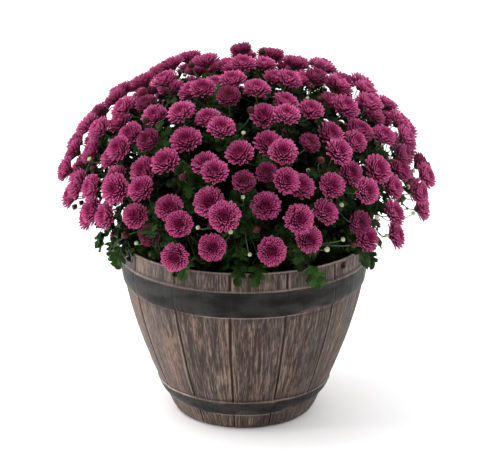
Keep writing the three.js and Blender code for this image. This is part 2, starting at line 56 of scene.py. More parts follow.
# Heights and radii: up the outside, over the lip, and up the inside.
POT_OUTSIDE = np.array(
    [[0, 93], [4, 96], [10, 99.2], [25, 105.8], [47, 117]]
    + [[85, 132.4], [130, 147.5], [180, 159.7], [216, 163.8], [240, 164.3]]
)
LIP = np.array(
    [[238, 164.3], [239.2, 164.0], [239.9, 163.3], [240, 162.2], [239.9, 161.3], [239, 160.7]]
)
POT_INSIDE = np.array([[6, 87], [20, 95], [85, 122.5], [150, 145], [240, 160.5]])
# Stave by stave: the bearing of its first seam, how far that has leant at the foot and how wide it is,
# in degrees, then how deep the grain is cut and how dark the stave is set: partly its own tone and
# partly painted light, as the staves at the left, where the light falls, are set lightest.
STAVE_SEAMS = np.array(
    [-59.5, -32.5, -6.3, 19.4, 45.2, 71.5, 99.5, 127.5, 155.5, 183.5, 211.5, 239.5, 267.5]
)
SEAM_LEAN = np.array([-0.6, -1.1, -0.9, 0.6, 0.9, 0.5, -0.4, 0.7, -0.8, 0.2, 0.6, -0.5, -0.7])
SEAM_WIDTH = np.array([0.75, 0.55, 0.45, 0.45, 0.55, 0.7, 0.6, 0.5, 0.45, 0.5, 0.6, 0.5, 0.6])
GRAIN_DEPTH = np.array([0.6, 1.1, 1.1, 0.95, 0.85, 0.8, 1.0, 0.7, 1.1, 0.9, 1.0, 0.8, 0.7])
STAVE_DARKNESS = np.array([0.0, 0.2, 0.65, 0.6, 0.4, 0.5, 0.9, 0.2, 0.6, 0.4, 0.8, 0.3, 0.0])


def smoothstep(low, high, values):
    """0 below low, 1 above high, and 3x^2 - 2x^3 between, x being the share of the way."""
    share = np.clip((values - low) / (high - low), 0, 1)
    return share * share * (3 - 2 * share)


def ridge(away, width):
    """1 on a line, and exp(-(away / width)^2) beside it."""
    return np.exp(-((away / width) ** 2))


def smooth_curve(profile, at):
    """Reads a table of places and values with a cubic Hermite curve whose slope at each place is the
    mean slope of its two neighbours, so the curve passes through every value without a corner."""
    places, values = profile.T
    slopes = np.gradient(values, places)
    k = np.clip(np.searchsorted(places, at) - 1, 0, len(places) - 2)
    width = places[k + 1] - places[k]
    t = np.clip((at - places[k]) / width, 0, 1)
    hermite = [2 * t**3 - 3 * t**2 + 1, t**3 - 2 * t**2 + t, -2 * t**3 + 3 * t**2, t**3 - t**2]
    ends = [values[k], slopes[k] * width, values[k + 1], slopes[k + 1] * width]
    return sum(h * end for h, end in zip(hermite, ends))


def table_noise(x, y, columns, seed):
    """Value noise in -1..1: a seeded table read at (x, y), counted in cells, with a smoothstep between
    neighbouring cells. x wraps round after the given number of columns."""
    column, row = np.floor(x).astype(int), np.floor(y).astype(int)
    table = np.random.default_rng(seed).uniform(-1, 1, (row.max() + 2, columns))
    over, up = smoothstep(0, 1, x - column), smoothstep(0, 1, y - row)
    left, right = column % columns, (column + 1) % columns
    lower = table[row, left] * (1 - over) + table[row, right] * over
    upper = table[row + 1, left] * (1 - over) + table[row + 1, right] * over
    return lower * (1 - up) + upper * up


def joined(*values):
    """Values, or arrays of them, set side by side on a new last axis."""
    return np.stack(np.broadcast_arrays(*values), -1)


def polar(radius, angle, height):
    """Points at (radius cos(angle), radius sin(angle), height)."""
    return joined(radius * np.cos(angle), radius * np.sin(angle), height)


def closed_rings(rings, start, end):
    """n closed skins, each of s stations of k corners. rings[n, s, k] turns right-handed from start to
    end, neighbouring stations are joined by quads, and a fan closes each end on its middle point."""
    n, s, k, _ = rings.shape
    points = np.concatenate([rings.reshape(n, s * k, 3), start[:, None], end[:, None]], axis=1)
    corner, station = np.arange(k), np.arange(s)[:, None] * k
    here, after = station + corner, station + (corner + 1) % k
    quads = np.stack([here[:-1], after[:-1], after[1:], here[1:]], -1)
    fans = np.concatenate([joined(s * k, after[0], here[0]), joined(here[-1], after[-1], s * k + 1)])
    offset = (np.arange(n) * (s * k + 2))[:, None, None]
    return {
        "points": points.reshape(-1, 3),
        "quads": (quads.reshape(1, -1, 4) + offset).reshape(-1, 4),
        "triangles": (fans + offset).reshape(-1, 3),
    }


def per_point(rings, start, end):
    """Values at the corners rings[n, s, k] and at both ends, in the order of closed_rings' points."""
    n, s, k, *shape = rings.shape
    ends = [np.broadcast_to(value, (n, 1, *shape)) for value in (start, end)]
    values = np.concatenate([rings.reshape(n, s * k, *shape), *ends], axis=1)
    return values.reshape(n * (s * k + 2), *shape)


def add_piece(name, skins, material, crease=180):
    """Joins skins end to end into one mesh, in metres, shades it smooth but for creases sharper than
    the given angle, and hangs it on the frame. Every skin carries the same attributes."""
    first = np.cumsum([0] + [len(skin["points"]) for skin in skins[:-1]])
    points = np.concatenate([skin["points"] for skin in skins]) / 1000
    quads, triangles = (
        np.concatenate([skin[kind] + offset for skin, offset in zip(skins, first)])
        for kind in ("quads", "triangles")
    )
    corners = np.concatenate([quads.ravel(), triangles.ravel()])
    sizes = np.repeat([4, 3], [len(quads), len(triangles)])
    mesh = bpy.data.meshes.new(name)
    mesh.vertices.add(len(points))
    mesh.vertices.foreach_set("co", points.ravel().astype(np.float32))
    mesh.loops.add(len(corners))
    mesh.loops.foreach_set("vertex_index", corners.astype(np.int32))
    mesh.polygons.add(len(sizes))
    mesh.polygons.foreach_set("loop_start", (np.cumsum(sizes) - sizes).astype(np.int32))
    mesh.polygons.foreach_set("loop_total", sizes.astype(np.int32))
    mesh.polygons.foreach_set("use_smooth", np.ones(len(sizes), dtype=bool))
    mesh.update(calc_edges=True)
    for key in skins[0].get("attributes", {}):
        values = np.concatenate([skin["attributes"][key] for skin in skins]).astype(np.float32)
        kind, field = ("FLOAT", "value") if values.ndim == 1 else ("FLOAT_VECTOR", "vector")
        mesh.attributes.new(key, kind, "POINT").data.foreach_set(field, values.ravel())
    if crease < 180:
        mesh.set_sharp_from_angle(angle=np.radians(crease))
    mesh.materials.append(material)
    piece = bpy.data.objects.new(name, mesh)
    bpy.context.scene.collection.objects.link(piece)
    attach(piece, "root")
    return piece


def linear(code):
    """An sRGB hex colour as linear light: c/12.92 up to 0.04045, else ((c + 0.055)/1.055)^2.4."""
    channels = np.array([int(code[i : i + 2], 16) for i in (1, 3, 5)]) / 255
    light = np.where(channels <= 0.04045, channels / 12.92, ((channels + 0.055) / 1.055) ** 2.4)
    return (*light.tolist(), 1.0)


def new_material(name):
    """An empty node material, its node tree and its Principled shader."""
    material = bpy.data.materials.new(name)
    material.use_nodes = True
    return material, material.node_tree, material.node_tree.nodes["Principled BSDF"]


def feed(node, inputs):
    """Gives each input, by name or by place, a number, a hex colour or the socket that feeds it."""
    for key, value in inputs.items() if isinstance(inputs, dict) else enumerate(inputs):
        if isinstance(value, bpy.types.NodeSocket):
            tree.links.new(value, node.inputs[key])
        else:
            node.inputs[key].default_value = linear(value) if isinstance(value, str) else value


def add(kind, inputs=(), out=0, **settings):
    """Adds a node to the tree in hand, the last one named tree, feeds it, and returns an output."""
    node = tree.nodes.new("ShaderNode" + kind)
    for key, value in settings.items():
        setattr(node, key, value)
    feed(node, inputs)
    return node.outputs[out]


SMOOTHLY = {"interpolation_type": "SMOOTHSTEP"}


def layered(colour, *layers):
    """Colours laid over a first one. A layer is a value, the two readings between which it fades in
    (or none, where the value times the full share is the share), its full share, and the colour that
    is mixed in by that share."""
    for value, *fade, full, code in layers:
        if fade:
            share = add("MapRange", [value, *fade, 0, full], **SMOOTHLY)
        else:
            share = add("Math", [value, full], operation="MULTIPLY")
        colour = add("Mix", {0: share, 6: colour, 7: code}, 2, data_type="RGBA")
    return colour


# Rotation-moulded polyethylene, satin from the mould: brown, darker in the grain and tan on its ridges,
# partly a wiped dark wash and dry-brush and partly painted shade and painted highlight. The grain is 1
# to 3 mm wide and 10 to 40 mm long.
resin, tree, shader = new_material("washed brown planter resin")
along_stave = add("Attribute", out="Vector", attribute_name="along_stave")
# relief darkens the grain's hollows and lightens its ridges, partly as the finish's wash and dry-brush
# and partly as painted shade and painted highlight; the second attribute holds the bands' paint and
# painted shade in the vent, the third wear and a painted highlight along the lip, and the fourth each
# stave's darkness, partly its own tone and partly painted light.
relief, charcoal_and_vent_shade, rub_and_lip_highlight, tone = (
    add("Attribute", out="Fac", attribute_name=name)
    for name in ("relief", "charcoal_and_vent_shade", "rub_and_lip_highlight", "stave_darkness")
)


def stave_noise(width, length, detail, shift=0.0):
    """Noise whose patches are width mm across a stave and length mm along it."""
    stretch = {0: along_stave, 1: (shift, shift, 0), 3: (1, 1, width / length)}
    noise = {"Vector": add("Mapping", stretch), "Scale": 1000 / width, "Detail": detail}
    return add("TexNoise", noise, "Fac")


patches, warm_patches = stave_noise(46, 90, 2), stave_noise(30, 120, 2, 0.31)
streaks, fibres = stave_noise(1.3, 42, 3), stave_noise(0.9, 10, 2, 0.7)
wood = layered(
    "#3b3130",
    (patches, 0.38, 0.62, 1, "#4e3f36"),
    (warm_patches, 0.48, 0.64, 0.7, "#715644"),
    # each stave's darkness: partly its own tone, partly painted light (the left staves set lightest)
    (tone, 0.85, "#392e2d"),
    (streaks, 0.5, 0.7, 0.25, "#7d685c"),
    (streaks, 0.5, 0.34, 0.7, "#33221c"),
    (fibres, 0.5, 0.64, 0.3, "#8e7969"),
    (fibres, 0.52, 0.4, 0.85, "#2a1a14"),
    # painted highlight on the grain's ridges, and painted shade in its hollows and seams, over the
    # finish
    (relief, 0.1, 0.6, 0.55, "#8e7a6c"),
    (relief, -0.05, -0.7, 0.95, "#28150e"),
)
smears = stave_noise(36, 15, 3, 0.43)
charcoal = layered(
    "#100f0d",
    (smears, 0.36, 0.66, 1, "#2a2a26"),
    (warm_patches, 0.5, 0.7, 0.5, "#2c2521"),
)
frayed = add("Math", [streaks, 0.5, -0.25], operation="MULTIPLY_ADD")
# brush follows the bands' charcoal paint, and the painted shade in the vent
brush = add("Math", [charcoal_and_vent_shade, frayed], operation="ADD")
scratched = add("MapRange", [fibres, 0.3, 0.55, 0.65, 1.0], **SMOOTHLY)
# Wear on the band edges, and a painted highlight along the lip, both laid on in light tan.
wear_and_highlight = add("Math", [rub_and_lip_highlight, scratched], operation="MULTIPLY")
height = add("Math", [fibres, add("Math", [streaks, 1.2], operation="MULTIPLY")], operation="ADD")
resin_inputs = {
    "Base Color": layered(wood, (brush, 0.2, 0.8, 1, charcoal), (wear_and_highlight, 1, "#b6a59b")),
    "Roughness": add("MapRange", [brush, 0.2, 0.8, 0.55, 0.46], **SMOOTHLY),
    "Specular IOR Level": add("MapRange", [brush, 0.2, 0.8, 0.32, 0.1], **SMOOTHLY),
    "Normal": add("Bump", {"Height": height, "Strength": 0.55, "Distance": 0.0007}),
}
feed(shader, resin_inputs)

# Columns across each stave, as degrees past its seam: close together in the groove at either side.
widths = np.diff(np.append(STAVE_SEAMS, STAVE_SEAMS[0] + 360))
in_groove, between = np.array([0, 0.2, 0.42, 0.7, 1.1]), np.arange(1, 50) / 50
edge = in_groove[-1]
columns = [
    part
    for width in widths
    for part in (in_groove, edge + (width - 2 * edge) * between, width - in_groove[:0:-1])
]
columns = np.concatenate(columns)
stave = np.repeat(np.arange(len(widths)), len(columns) // len(widths))
bearings = STAVE_SEAMS[stave] + columns
past_seam = np.minimum(columns, widths[stave] - columns)  # degrees to the nearer seam
nearer_seam = (stave + (columns > widths[stave] / 2)) % len(widths)

# Heights of the rows up the outside, close together at the bands' edges and at the vent.
band_edges = [z + step for band in BANDS for z in band for step in (-2.4, -1.2, -0.5, 0, 0.5, 1.2, 2.4)]
vent_edges = [225, 227.3, 234.9, 235.8]
rows = np.unique(np.concatenate([[0.6, 1.2], np.arange(2, 237, 3.9), band_edges, vent_edges]))
rows = rows[(rows < 237.4) & np.append(np.diff(rows) > 0.25, True)]
z = rows[:, None] + 0 * bearings

# The seams wander a little from straight, and each stave sits and tips in its own way.
rng = np.random.default_rng(7)
wander = 0.35 * table_noise(nearer_seam * 3.0, z / 60, 39, 11) * np.exp(-past_seam / 6)
lean = SEAM_LEAN[stave] + (np.roll(SEAM_LEAN, -1) - SEAM_LEAN)[stave] * columns / widths[stave]
turn = np.radians(bearings + 0 * z) + np.radians(wander + lean * (1 - z / POT_HEIGHT))
sit = rng.uniform(-0.45, 0.45, len(widths))[stave]
tip = rng.uniform(-0.5, 0.5, len(widths))[stave] * (2 * columns / widths[stave] - 1)
share_round = turn / (2 * np.pi)


def round_noise(cells, cell_height, seed, shift=0):
    """Value noise on the outside: so many cells round it, cell_height mm high, slid by shift cells."""
    return table_noise(share_round * cells + shift, z / cell_height, cells, seed)


edge_noise, brushed = round_noise(260, 400, 5), round_noise(17, 400, 8)
wavy = 0.9 * round_noise(26, 400, 6)
dry = smoothstep(0.97, 0.85, np.cos(turn - 0.05))
band, paint_and_vent_shade, rub = np.zeros((3, *z.shape))
for low, high in BANDS:
    # Proud between its edges, rounder below; the paint feathers past the lower edge.
    shape = smoothstep(low - 1.5, low + 1.2 + 7 * dry, z) * smoothstep(high + 0.9, high - 0.6, z)
    swell = 0.35 * np.sin(np.pi * np.clip((z - low) / (high - low), 0, 1))
    band = np.maximum(band, shape * (1 + swell))
    # Away from the front the brush ran dry, and the lower edge fades into the band.
    thin = 7 * smoothstep(-0.7, 0.4, brushed) * dry
    fade = 3.5 + 1.6 * edge_noise + 2 * wavy + thin
    laid = smoothstep(low - fade + thin, low + 1.6 + 2 * thin, z)
    paint_and_vent_shade = np.maximum(paint_and_vent_shade, laid * smoothstep(high - 0.2, high - 2.6 + wavy, z))
    top_line = ridge(z - high + 0.3 + 0.4 * wavy, 0.8)
    foot_line = ridge(z - low + 1.4, 0.6) * (1 - dry)
    handled = 0.2 + 0.6 * smoothstep(-0.5, 0.6, brushed - 0.5 * np.sin(turn))
    handled = handled * (0.5 if high < POT_HEIGHT / 2 else 1)  # the lower band less
    rub = np.maximum(rub, np.maximum(handled * top_line, 0.6 * foot_line))
paint_and_vent_shade *= 1 - 0.5 * smoothstep(0.1, 0.6, round_noise(21, 26, 14)) * smoothstep(70, 50, z)
under_band = np.clip(band, 0, 1)
bare = 1 - under_band

# Embossed grain along the stave: long fibres, shorter ones between, pricked pores and a few cracks.
bend = 0.35 * round_noise(40, 80, 21)
fibre, fine = round_noise(400, 40, 22, bend), round_noise(720, 14, 23, 2 * bend)
pores = smoothstep(0.25, 0.7, round_noise(560, 6, 24, bend))
cracks = smoothstep(0.45, 0.8, round_noise(330, 36, 26, bend))
grain = (0.45 * fibre + 0.55 * fine - 0.45 * pores - 0.9 * cracks) * GRAIN_DEPTH[stave]
groove = ridge(past_seam, SEAM_WIDTH[nearer_seam])
# A painted highlight along both edges of each seam, laid into the relief.
arris_highlight = ridge(past_seam - 0.65 - SEAM_WIDTH[nearer_seam], 0.3)
hammered = 0.35 * round_noise(110, 9, 25) * under_band
plain = smoothstep(POT_HEIGHT + 1, POT_HEIGHT - 6, z)
dent = smoothstep(1.25, 0.85, np.abs(bearings - VENT[0]) / 1.35)
dent = dent * smoothstep(4.2, 3.2, np.abs(z - VENT[1]))
# The seams are shallower in places, where the mould was worn.
packed = 0.75 + 0.25 * smoothstep(-0.5, 0.3, table_noise(nearer_seam * 3.0, z / 38, 39, 12))
radius = smooth_curve(POT_OUTSIDE, z) - SET_IN
radius += (sit + tip) * plain * 0.8 + BAND_PROUD * band
radius += 0.5 * grain * (0.25 + 0.75 * bare) * plain + hammered
seam = (SEAM_DEPTH * packed * bare + BAND_SEAM_DEPTH) * groove
radius -= seam * smoothstep(-2, 3, z) + VENT_DEPTH * dent
radius -= FOOT_ROUNDING * smoothstep(3.0, 0.0, z) ** 2
# The vent takes the bands' charcoal as painted shade in its hollow, and the relief below darkens it too.
paint_and_vent_shade = np.maximum(paint_and_vent_shade, dent)
# Darker in the seams and the grain's hollows, partly the finish's dark wash and partly painted shade;
# the dark lines along three edges of the bands are painted shade.
wash_and_painted_light = (grain + 0.7 * arris_highlight) * bare - 2.2 * packed * groove * bare - 0.4 * groove - 3 * dent
wash_and_painted_light = wash_and_painted_light - 0.8 * ridge(z - BANDS[0][1] - 1.6, 0.8)
wash_and_painted_light = wash_and_painted_light - 0.5 * ridge(z - BANDS[1][0] + 2.5, 1.0) * smoothstep(0.4, -0.2, wavy)
wash_and_painted_light = wash_and_painted_light - 0.9 * ridge(z - BANDS[1][1] - 2.0, 0.9) * smoothstep(0.2, 0.6, np.abs(np.sin(turn)))

# Under the foot, up the outside, over the lip and down the wall.
under_radius = np.array([[60.0], [89.0]]) + 0 * bearings
lip_z = LIP[:, :1] + 0 * bearings
lip_noise = table_noise(share_round[:1] * 160, lip_z / 400, 160, 9)
lip_radius = LIP[:, 1:] - SET_IN - 0.5 * groove + 0.12 * lip_noise
wall_z = np.array([[236.0], [226], [214], [200], [150], [85], [20], [POT_FLOOR]]) + 0 * bearings
all_z = np.concatenate([0 * under_radius, z, lip_z, wall_z])
all_radius = np.concatenate([under_radius, radius, lip_radius, smooth_curve(POT_INSIDE, wall_z)])
all_turn = np.concatenate([turn[:2], turn, turn[-1:] + 0 * lip_z, turn[-1:] + 0 * wall_z]) - np.pi / 2


def round_the_pot(outside, on_lip, inside):
    """One value per point of the pot: 0 under the foot, then the outside, the lip and the wall."""
    parts = [0 * under_radius, outside, on_lip + 0 * lip_z, inside + 0 * wall_z]
    return per_point(np.concatenate(parts)[None], 0.0, inside)


# The lip's light line along its top, brighter at both sides: partly wear and partly a painted highlight
# where the lip catches the light.
lip_wear_and_highlight = ridge(LIP[:, :1] - 239.6, 0.8) * smoothstep(161.0, 162.2, LIP[:, 1:])
wear_and_side_light = brushed[-1:] + 0.5 * np.abs(np.sin(turn[-1:]))
lip_wear_and_highlight = lip_wear_and_highlight * (0.7 + 0.45 * smoothstep(-0.2, 0.3, wear_and_side_light))
on_axis = np.array([[0, 0, 1.0]])  # times a height: the point of the pot's axis there
pot = closed_rings(polar(all_radius, all_turn, all_z)[None], 0 * on_axis, POT_FLOOR * on_axis)
pot["attributes"] = {
    "along_stave": per_point(polar(150, all_turn, all_z)[None] / 1000, np.zeros(3), np.zeros(3)),
    "relief": round_the_pot(wash_and_painted_light, -0.15 - 0.8 * groove, -0.2),
    "charcoal_and_vent_shade": round_the_pot(paint_and_vent_shade, 0.0, 0.0),
    "rub_and_lip_highlight": round_the_pot(np.maximum(rub, 0.25 * ridge(POT_HEIGHT - z, 0.8)), lip_wear_and_highlight, 0.05),
    "stave_darkness": round_the_pot(STAVE_DARKNESS[stave] + 0 * z, 0.2, 1.0),
}
pot_piece = add_piece("half_barrel_pot", [pot], resin)
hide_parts("barrel_pot")


# ---- the potting soil ----------------------------------------------------------------------------
# Peat compost with bark, watered and settled a little below the lip, so its top is crumbed in clods
# of 3 to 15 mm. It takes the form of the pot's inside.

SOIL_TOP, SOIL_CROWN, SOIL_FOOT, FIT_GAP = 214, 6, 6.5, 0.3
CLODS = ((2.2, 16, 0.3), (1.4, 6.1, 1.9), (0.9, 2.7, 4.1))  # height and width in mm, and a shift

# Damp peat: almost black, rough, with paler fibres and bark crumbs 1 to 3 mm across.
peat, tree, shader = new_material("damp peat compost")
place = add("TexCoord", out="Object")
crumbs = add("TexNoise", {"Vector": place, "Scale": 420, "Detail": 4}, "Fac")
bark = add("TexVoronoi", {"Vector": place, "Scale": 260}, "Distance")
earth = layered("#120d0a", (crumbs, 0.35, 0.65, 1, "#33261d"), (bark, 0.18, 0.05, 0.7, "#5a4331"))
bump = add("Bump", {"Height": crumbs, "Strength": 0.8, "Distance": 0.0015})
feed(shader, {"Base Color": earth, "Normal": bump, "Roughness": 0.95, "Specular IOR Level": 0.1})

angle = np.radians(np.arange(0, 360, 2.5))
share = np.linspace(0.98, 0.04, 34)[:, None]
top = polar((smooth_curve(POT_INSIDE, np.array(SOIL_TOP - 3.0)) - FIT_GAP) * share, angle, 0.0)
x, y = top[..., 0], top[..., 1]
clods = sum(
    high * np.sin(x / wide + 2 * np.sin(y / wide + shift)) * np.sin(y / wide)
    for high, wide, shift in CLODS
)
crumbled = np.random.default_rng(3).uniform(-0.7, 0.7, clods.shape)
top[..., 2] = SOIL_TOP + SOIL_CROWN * (1 - share**2) - 2 + clods + crumbled
side_z = np.array([[SOIL_FOOT], [20], [85], [150], [SOIL_TOP - 3]])
side = polar(np.interp(side_z, *POT_INSIDE.T) - FIT_GAP - 0.6, angle, side_z)
soil_rings = np.concatenate([side, top])[None]
soil = closed_rings(soil_rings, SOIL_FOOT * on_axis, (SOIL_TOP + SOIL_CROWN - 1.0) * on_axis)
soil_piece = add_piece("peat_soil", [soil], peat)
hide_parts("potting_soil")


# ---- how the plant branches ----------------------------------------------------------------------
# A garden mum pinched back until it branches everywhere: twelve leafy stems from the soil, forty-four
# sprays on their side branches, and 230 flower heads and half-open buds that share out the dome.
# These are the frame's own places: each is a direction from the heart of the bush and a share of the
# way out to the dome.

HEART = np.array([0, 0, 233.0])
DOME_RADIUS, DOME_CENTRE, DOME_RISE, DOME_DROP = 230, 297, 177, 62
LAST_THETA, THIN_FROM = np.radians([112, 72])
THIN_TO, DOME_STEPS = 0.2, 224
HEAD_COUNT, SPRAY_COUNT, STEM_COUNT = 230, 44, 12
SEED, HEAD_TURN, SPRAY_TURN, STEM_TURN = 446, 3.76, 0.9, 1.24
HEAD_DRAWS, HEAD_SLIDE, HEAD_LIFT, HEAD_TILT, HEAD_UPRIGHT = 200, 8, (-17, 11), 0.2, 0.14
HEAD_GAP, OVERLAP, WELL_ABOVE, NEAR, STALKS_APART = 1, 0.7, 15, 110, np.cos(np.radians(20))
SMALLEST, FLOWER_RADIUS = 16, (18, 21.5)
SPRAY_FOOT, STUB_LENGTH, STALK_STEPS, STALK_ROOM = 0.79, 9, 12, 2.5
CUP_DROP, BUD_DROP, BUD_RADIUS = 9.5, 1, 7
GOLDEN_ANGLE = np.pi * (3 - np.sqrt(5))
UP = np.array([0, 0, 1.0])


def unit(vectors):
    """Each vector divided by its length."""
    return vectors / np.linalg.norm(vectors, axis=-1, keepdims=True)


def round_the_bush(direction):
    """The level unit vector (-y, x, 0) / hypot(x, y)."""
    return unit(np.cross(UP, direction))


def across(direction, wanted=None):
    """Two unit vectors square to each direction: the first is the wanted one, which is round the bush
    if none is given, less its part along direction, and the second is direction x first."""
    wanted = round_the_bush(direction) if wanted is None else wanted
    u = unit(wanted - direction * np.sum(wanted * direction, -1, keepdims=True))
    return u, np.cross(direction, u)


def turned(u, v, angle):
    """u cos(angle) + v sin(angle)."""
    return u * np.cos(angle)[..., None] + v * np.sin(angle)[..., None]


def from_heart(way, reach, share):
    """The points that lie the given shares of the reach along the ways from the heart of the bush."""
    return HEART + way * (reach * share)[..., None]


def dome_point(theta, phi):
    """A point of two half-ellipsoids joined at the widest level."""
    reach = np.where(np.cos(theta) > 0, DOME_RISE, DOME_DROP)
    return polar(DOME_RADIUS * np.sin(theta), phi, DOME_CENTRE + reach * np.cos(theta))


dome_step = LAST_THETA / DOME_STEPS
middles = (np.arange(DOME_STEPS) + 0.5) * dome_step
dome_reach = np.where(np.cos(middles) > 0, DOME_RISE, DOME_DROP)
slope = np.hypot(DOME_RADIUS * np.cos(middles), dome_reach * np.sin(middles))
thinning = 1 + (THIN_TO - 1) * np.clip((middles - THIN_FROM) / (LAST_THETA - THIN_FROM), 0, None)
area_shares = np.concatenate([[0], np.cumsum(np.sin(middles) * slope * thinning)])
area_shares /= area_shares[-1]


def dome_sites(count, turn):
    """Angles from the top, and round, of a golden-angle spiral that shares the dome's area out."""
    places = np.arange(count)
    theta = np.interp((places + 0.5) / count, area_shares, np.arange(DOME_STEPS + 1) * dome_step)
    return theta, places * GOLDEN_ANGLE + turn


def axes(count, turn):
    """Unit directions from the heart to the dome's sites, and the full reach along each."""
    offset = dome_point(*dome_sites(count, turn)) - HEART
    return unit(offset), np.linalg.norm(offset, axis=-1)


spray_way, spray_reach = axes(SPRAY_COUNT, SPRAY_TURN)
stem_way, stem_reach = axes(STEM_COUNT, STEM_TURN)
spray_foot = from_heart(spray_way, spray_reach, SPRAY_FOOT)
spray_stem = np.argmax(spray_way @ stem_way.T, axis=1)


class Draws:
    """The frame's own seeded draws: state = state x 1664525 + 1013904223, kept to 32 bits."""

    def __init__(self, seed):
        self.state = seed

    def __call__(self, low, high):
        self.state = (self.state * 1664525 + 1013904223) % 2**32
        return low + (high - low) * self.state / 2**32


def bearing(spray, point):
    """Angle round a spray's axis at which a point stands."""
    u, v = across(spray_way[spray])
    offset = point - spray_foot[spray]
    return np.arctan2(offset @ v, offset @ u)


def stands_clear(head, other):
    """Side by side, or overlapping a little with one well above the other."""
    up = unit(head["axis"] + other["axis"])
    offset = head["centre"] - other["centre"]
    rise = offset @ up
    apart = np.sqrt(max(0, offset @ offset - rise * rise))
    reach = head["radius"] + other["radius"]
    return apart >= reach + HEAD_GAP or (apart >= OVERLAP * reach and abs(rise) >= WELL_ABOVE)


def stalk_clears(head, other):
    """Whether a head's stalk passes clear of another head on the same spray, and of its stalk."""
    home = head["home"]
    if home != other["home"]:
        return True
    if np.cos(bearing(home, head["centre"]) - bearing(home, other["centre"])) > STALKS_APART:
        return False
    root = spray_foot[home] + spray_way[home] * STUB_LENGTH
    base = head["centre"] - head["axis"] * CUP_DROP
    places = (np.arange(1, STALK_STEPS + 1) / STALK_STEPS)[:, None]
    offset = root + (base - root) * places - other["centre"]
    rise = offset @ other["axis"]
    apart = np.sqrt(np.clip(np.sum(offset * offset, -1) - rise * rise, 0, None))
    under = -CUP_DROP * (other["radius"] - apart) / other["radius"]
    return not np.any((apart < other["radius"] + STALK_ROOM) & (rise > under - STALK_ROOM))


def draw_head(i, draws, freedom):
    """Head i near its even place on the dome, nearer and larger the more freedom is left."""
    outward = unit(even_places[i] - HEART)
    u, v = across(outward)
    slide = HEAD_SLIDE * (2 - freedom)
    lift = draws(*HEAD_LIFT) + 4 * head_theta[i] / LAST_THETA
    centre = even_places[i] + u * draws(-slide, slide)
    centre = centre + v * draws(-slide, slide) + outward * lift
    axis = unit(centre - HEART) + UP * HEAD_UPRIGHT
    axis = axis + u * draws(-HEAD_TILT, HEAD_TILT)
    axis = unit(axis + v * draws(-HEAD_TILT, HEAD_TILT))
    full = SMALLEST + (draws(*FLOWER_RADIUS) - SMALLEST) * freedom
    is_bud = i % 9 == 4
    radius = BUD_RADIUS if is_bud else full
    home = int(np.argmax(spray_way @ unit(centre - HEART)))
    return {"centre": centre, "axis": axis, "is_bud": is_bud, "home": home, "radius": radius}


head_theta, head_phi = dome_sites(HEAD_COUNT, HEAD_TURN)
even_places = dome_point(head_theta, head_phi)
draws = Draws(SEED)
heads = []
for i in range(HEAD_COUNT):
    near = [other for other in heads if np.sum((other["centre"] - even_places[i]) ** 2) < NEAR**2]
    for attempt in range(HEAD_DRAWS):
        head = draw_head(i, draws, 1 - attempt / HEAD_DRAWS)
        if all(stands_clear(head, o) and stalk_clears(head, o) and stalk_clears(o, head) for o in near):
            break
    heads.append(head)

centre, head_axis, head_radius, is_bud, head_spray = (
    np.array([head[key] for head in heads]) for key in ("centre", "axis", "radius", "is_bud", "home")
)
head_stem = spray_stem[head_spray]
late = np.arange(HEAD_COUNT) % 10 == 7
opened = smoothstep(16.0, 17.3, head_radius) * (1 - 0.9 * late)  # some flowers are still opening


# ---- stems and stalks ----------------------------------------------------------------------------
# Green, faintly ribbed stems: a woody trunk from each hole in the soil, branches that fork from it,
# and a thin stalk from each fork's end up to its flower or bud.

# Radii at the lower and the upper end.
TRUNK_RADII, BRANCH_RADII, STALK_RADII = (3.6, 2.8), (1.9, 1.4), (0.7, 0.7)
BUD_STALK_RADII, LEAF_STALK_RADII = (0.6, 0.6), (0.9, 0.9)
HOLE_SPREAD, HUB, TRUNK_IN_SOIL = 13.5, 0.43, 30


def corners(sides):
    """The bearings of a ring's corners, evenly spread over the full turn."""
    return 2 * np.pi * np.arange(sides) / sides


def tubes(paths, radii, sides, tints):
    """Tubes along paths[n, s], whose radius and tint go evenly from the first to the second of a pair.
    Their rings stand square to the path, turned from a fixed vector so that they don't twist."""
    n, s, _ = paths.shape
    tangent = unit(np.gradient(paths, axis=1))
    whole = unit(paths[:, -1] - paths[:, 0])
    helper = np.where(np.abs(whole[:, 2:]) < 0.8, UP, np.array([1.0, 0, 0]))
    u, v = across(tangent, helper[:, None])
    out = turned(u[:, :, None], v[:, :, None], corners(sides)) * np.linspace(*radii, s)[:, None, None]
    skin = closed_rings(paths[:, :, None] + out, paths[:, 0], paths[:, -1])
    tint = np.broadcast_to(np.linspace(*tints, s)[:, None], (n, s, sides))
    skin["attributes"] = {"tint": per_point(tint, *tints)}
    return skin


def bent(start, middle, end, t):
    """Points, at shares t, of the parabolas that leave start towards middle and reach end from it:
    (1 - t)^2 start + 2 t (1 - t) middle + t^2 end."""
    t = t[:, None]
    return start[:, None] * (1 - t) ** 2 + middle[:, None] * 2 * t * (1 - t) + end[:, None] * t**2


def swept(start, leaving, end, arriving):
    """Eight points of the cubics that leave start in one direction and arrive at end in another, each
    pulled along its direction for 0.38 of the distance (Bezier)."""
    pull = 0.38 * np.linalg.norm(end - start, axis=-1, keepdims=True)
    t = np.linspace(0, 1, 8)[:, None]
    first, second = start + leaving * pull, end - arriving * pull
    curve = start[:, None] * (1 - t) ** 3 + first[:, None] * 3 * t * (1 - t) ** 2
    return curve + second[:, None] * 3 * t**2 * (1 - t) + end[:, None] * t**3


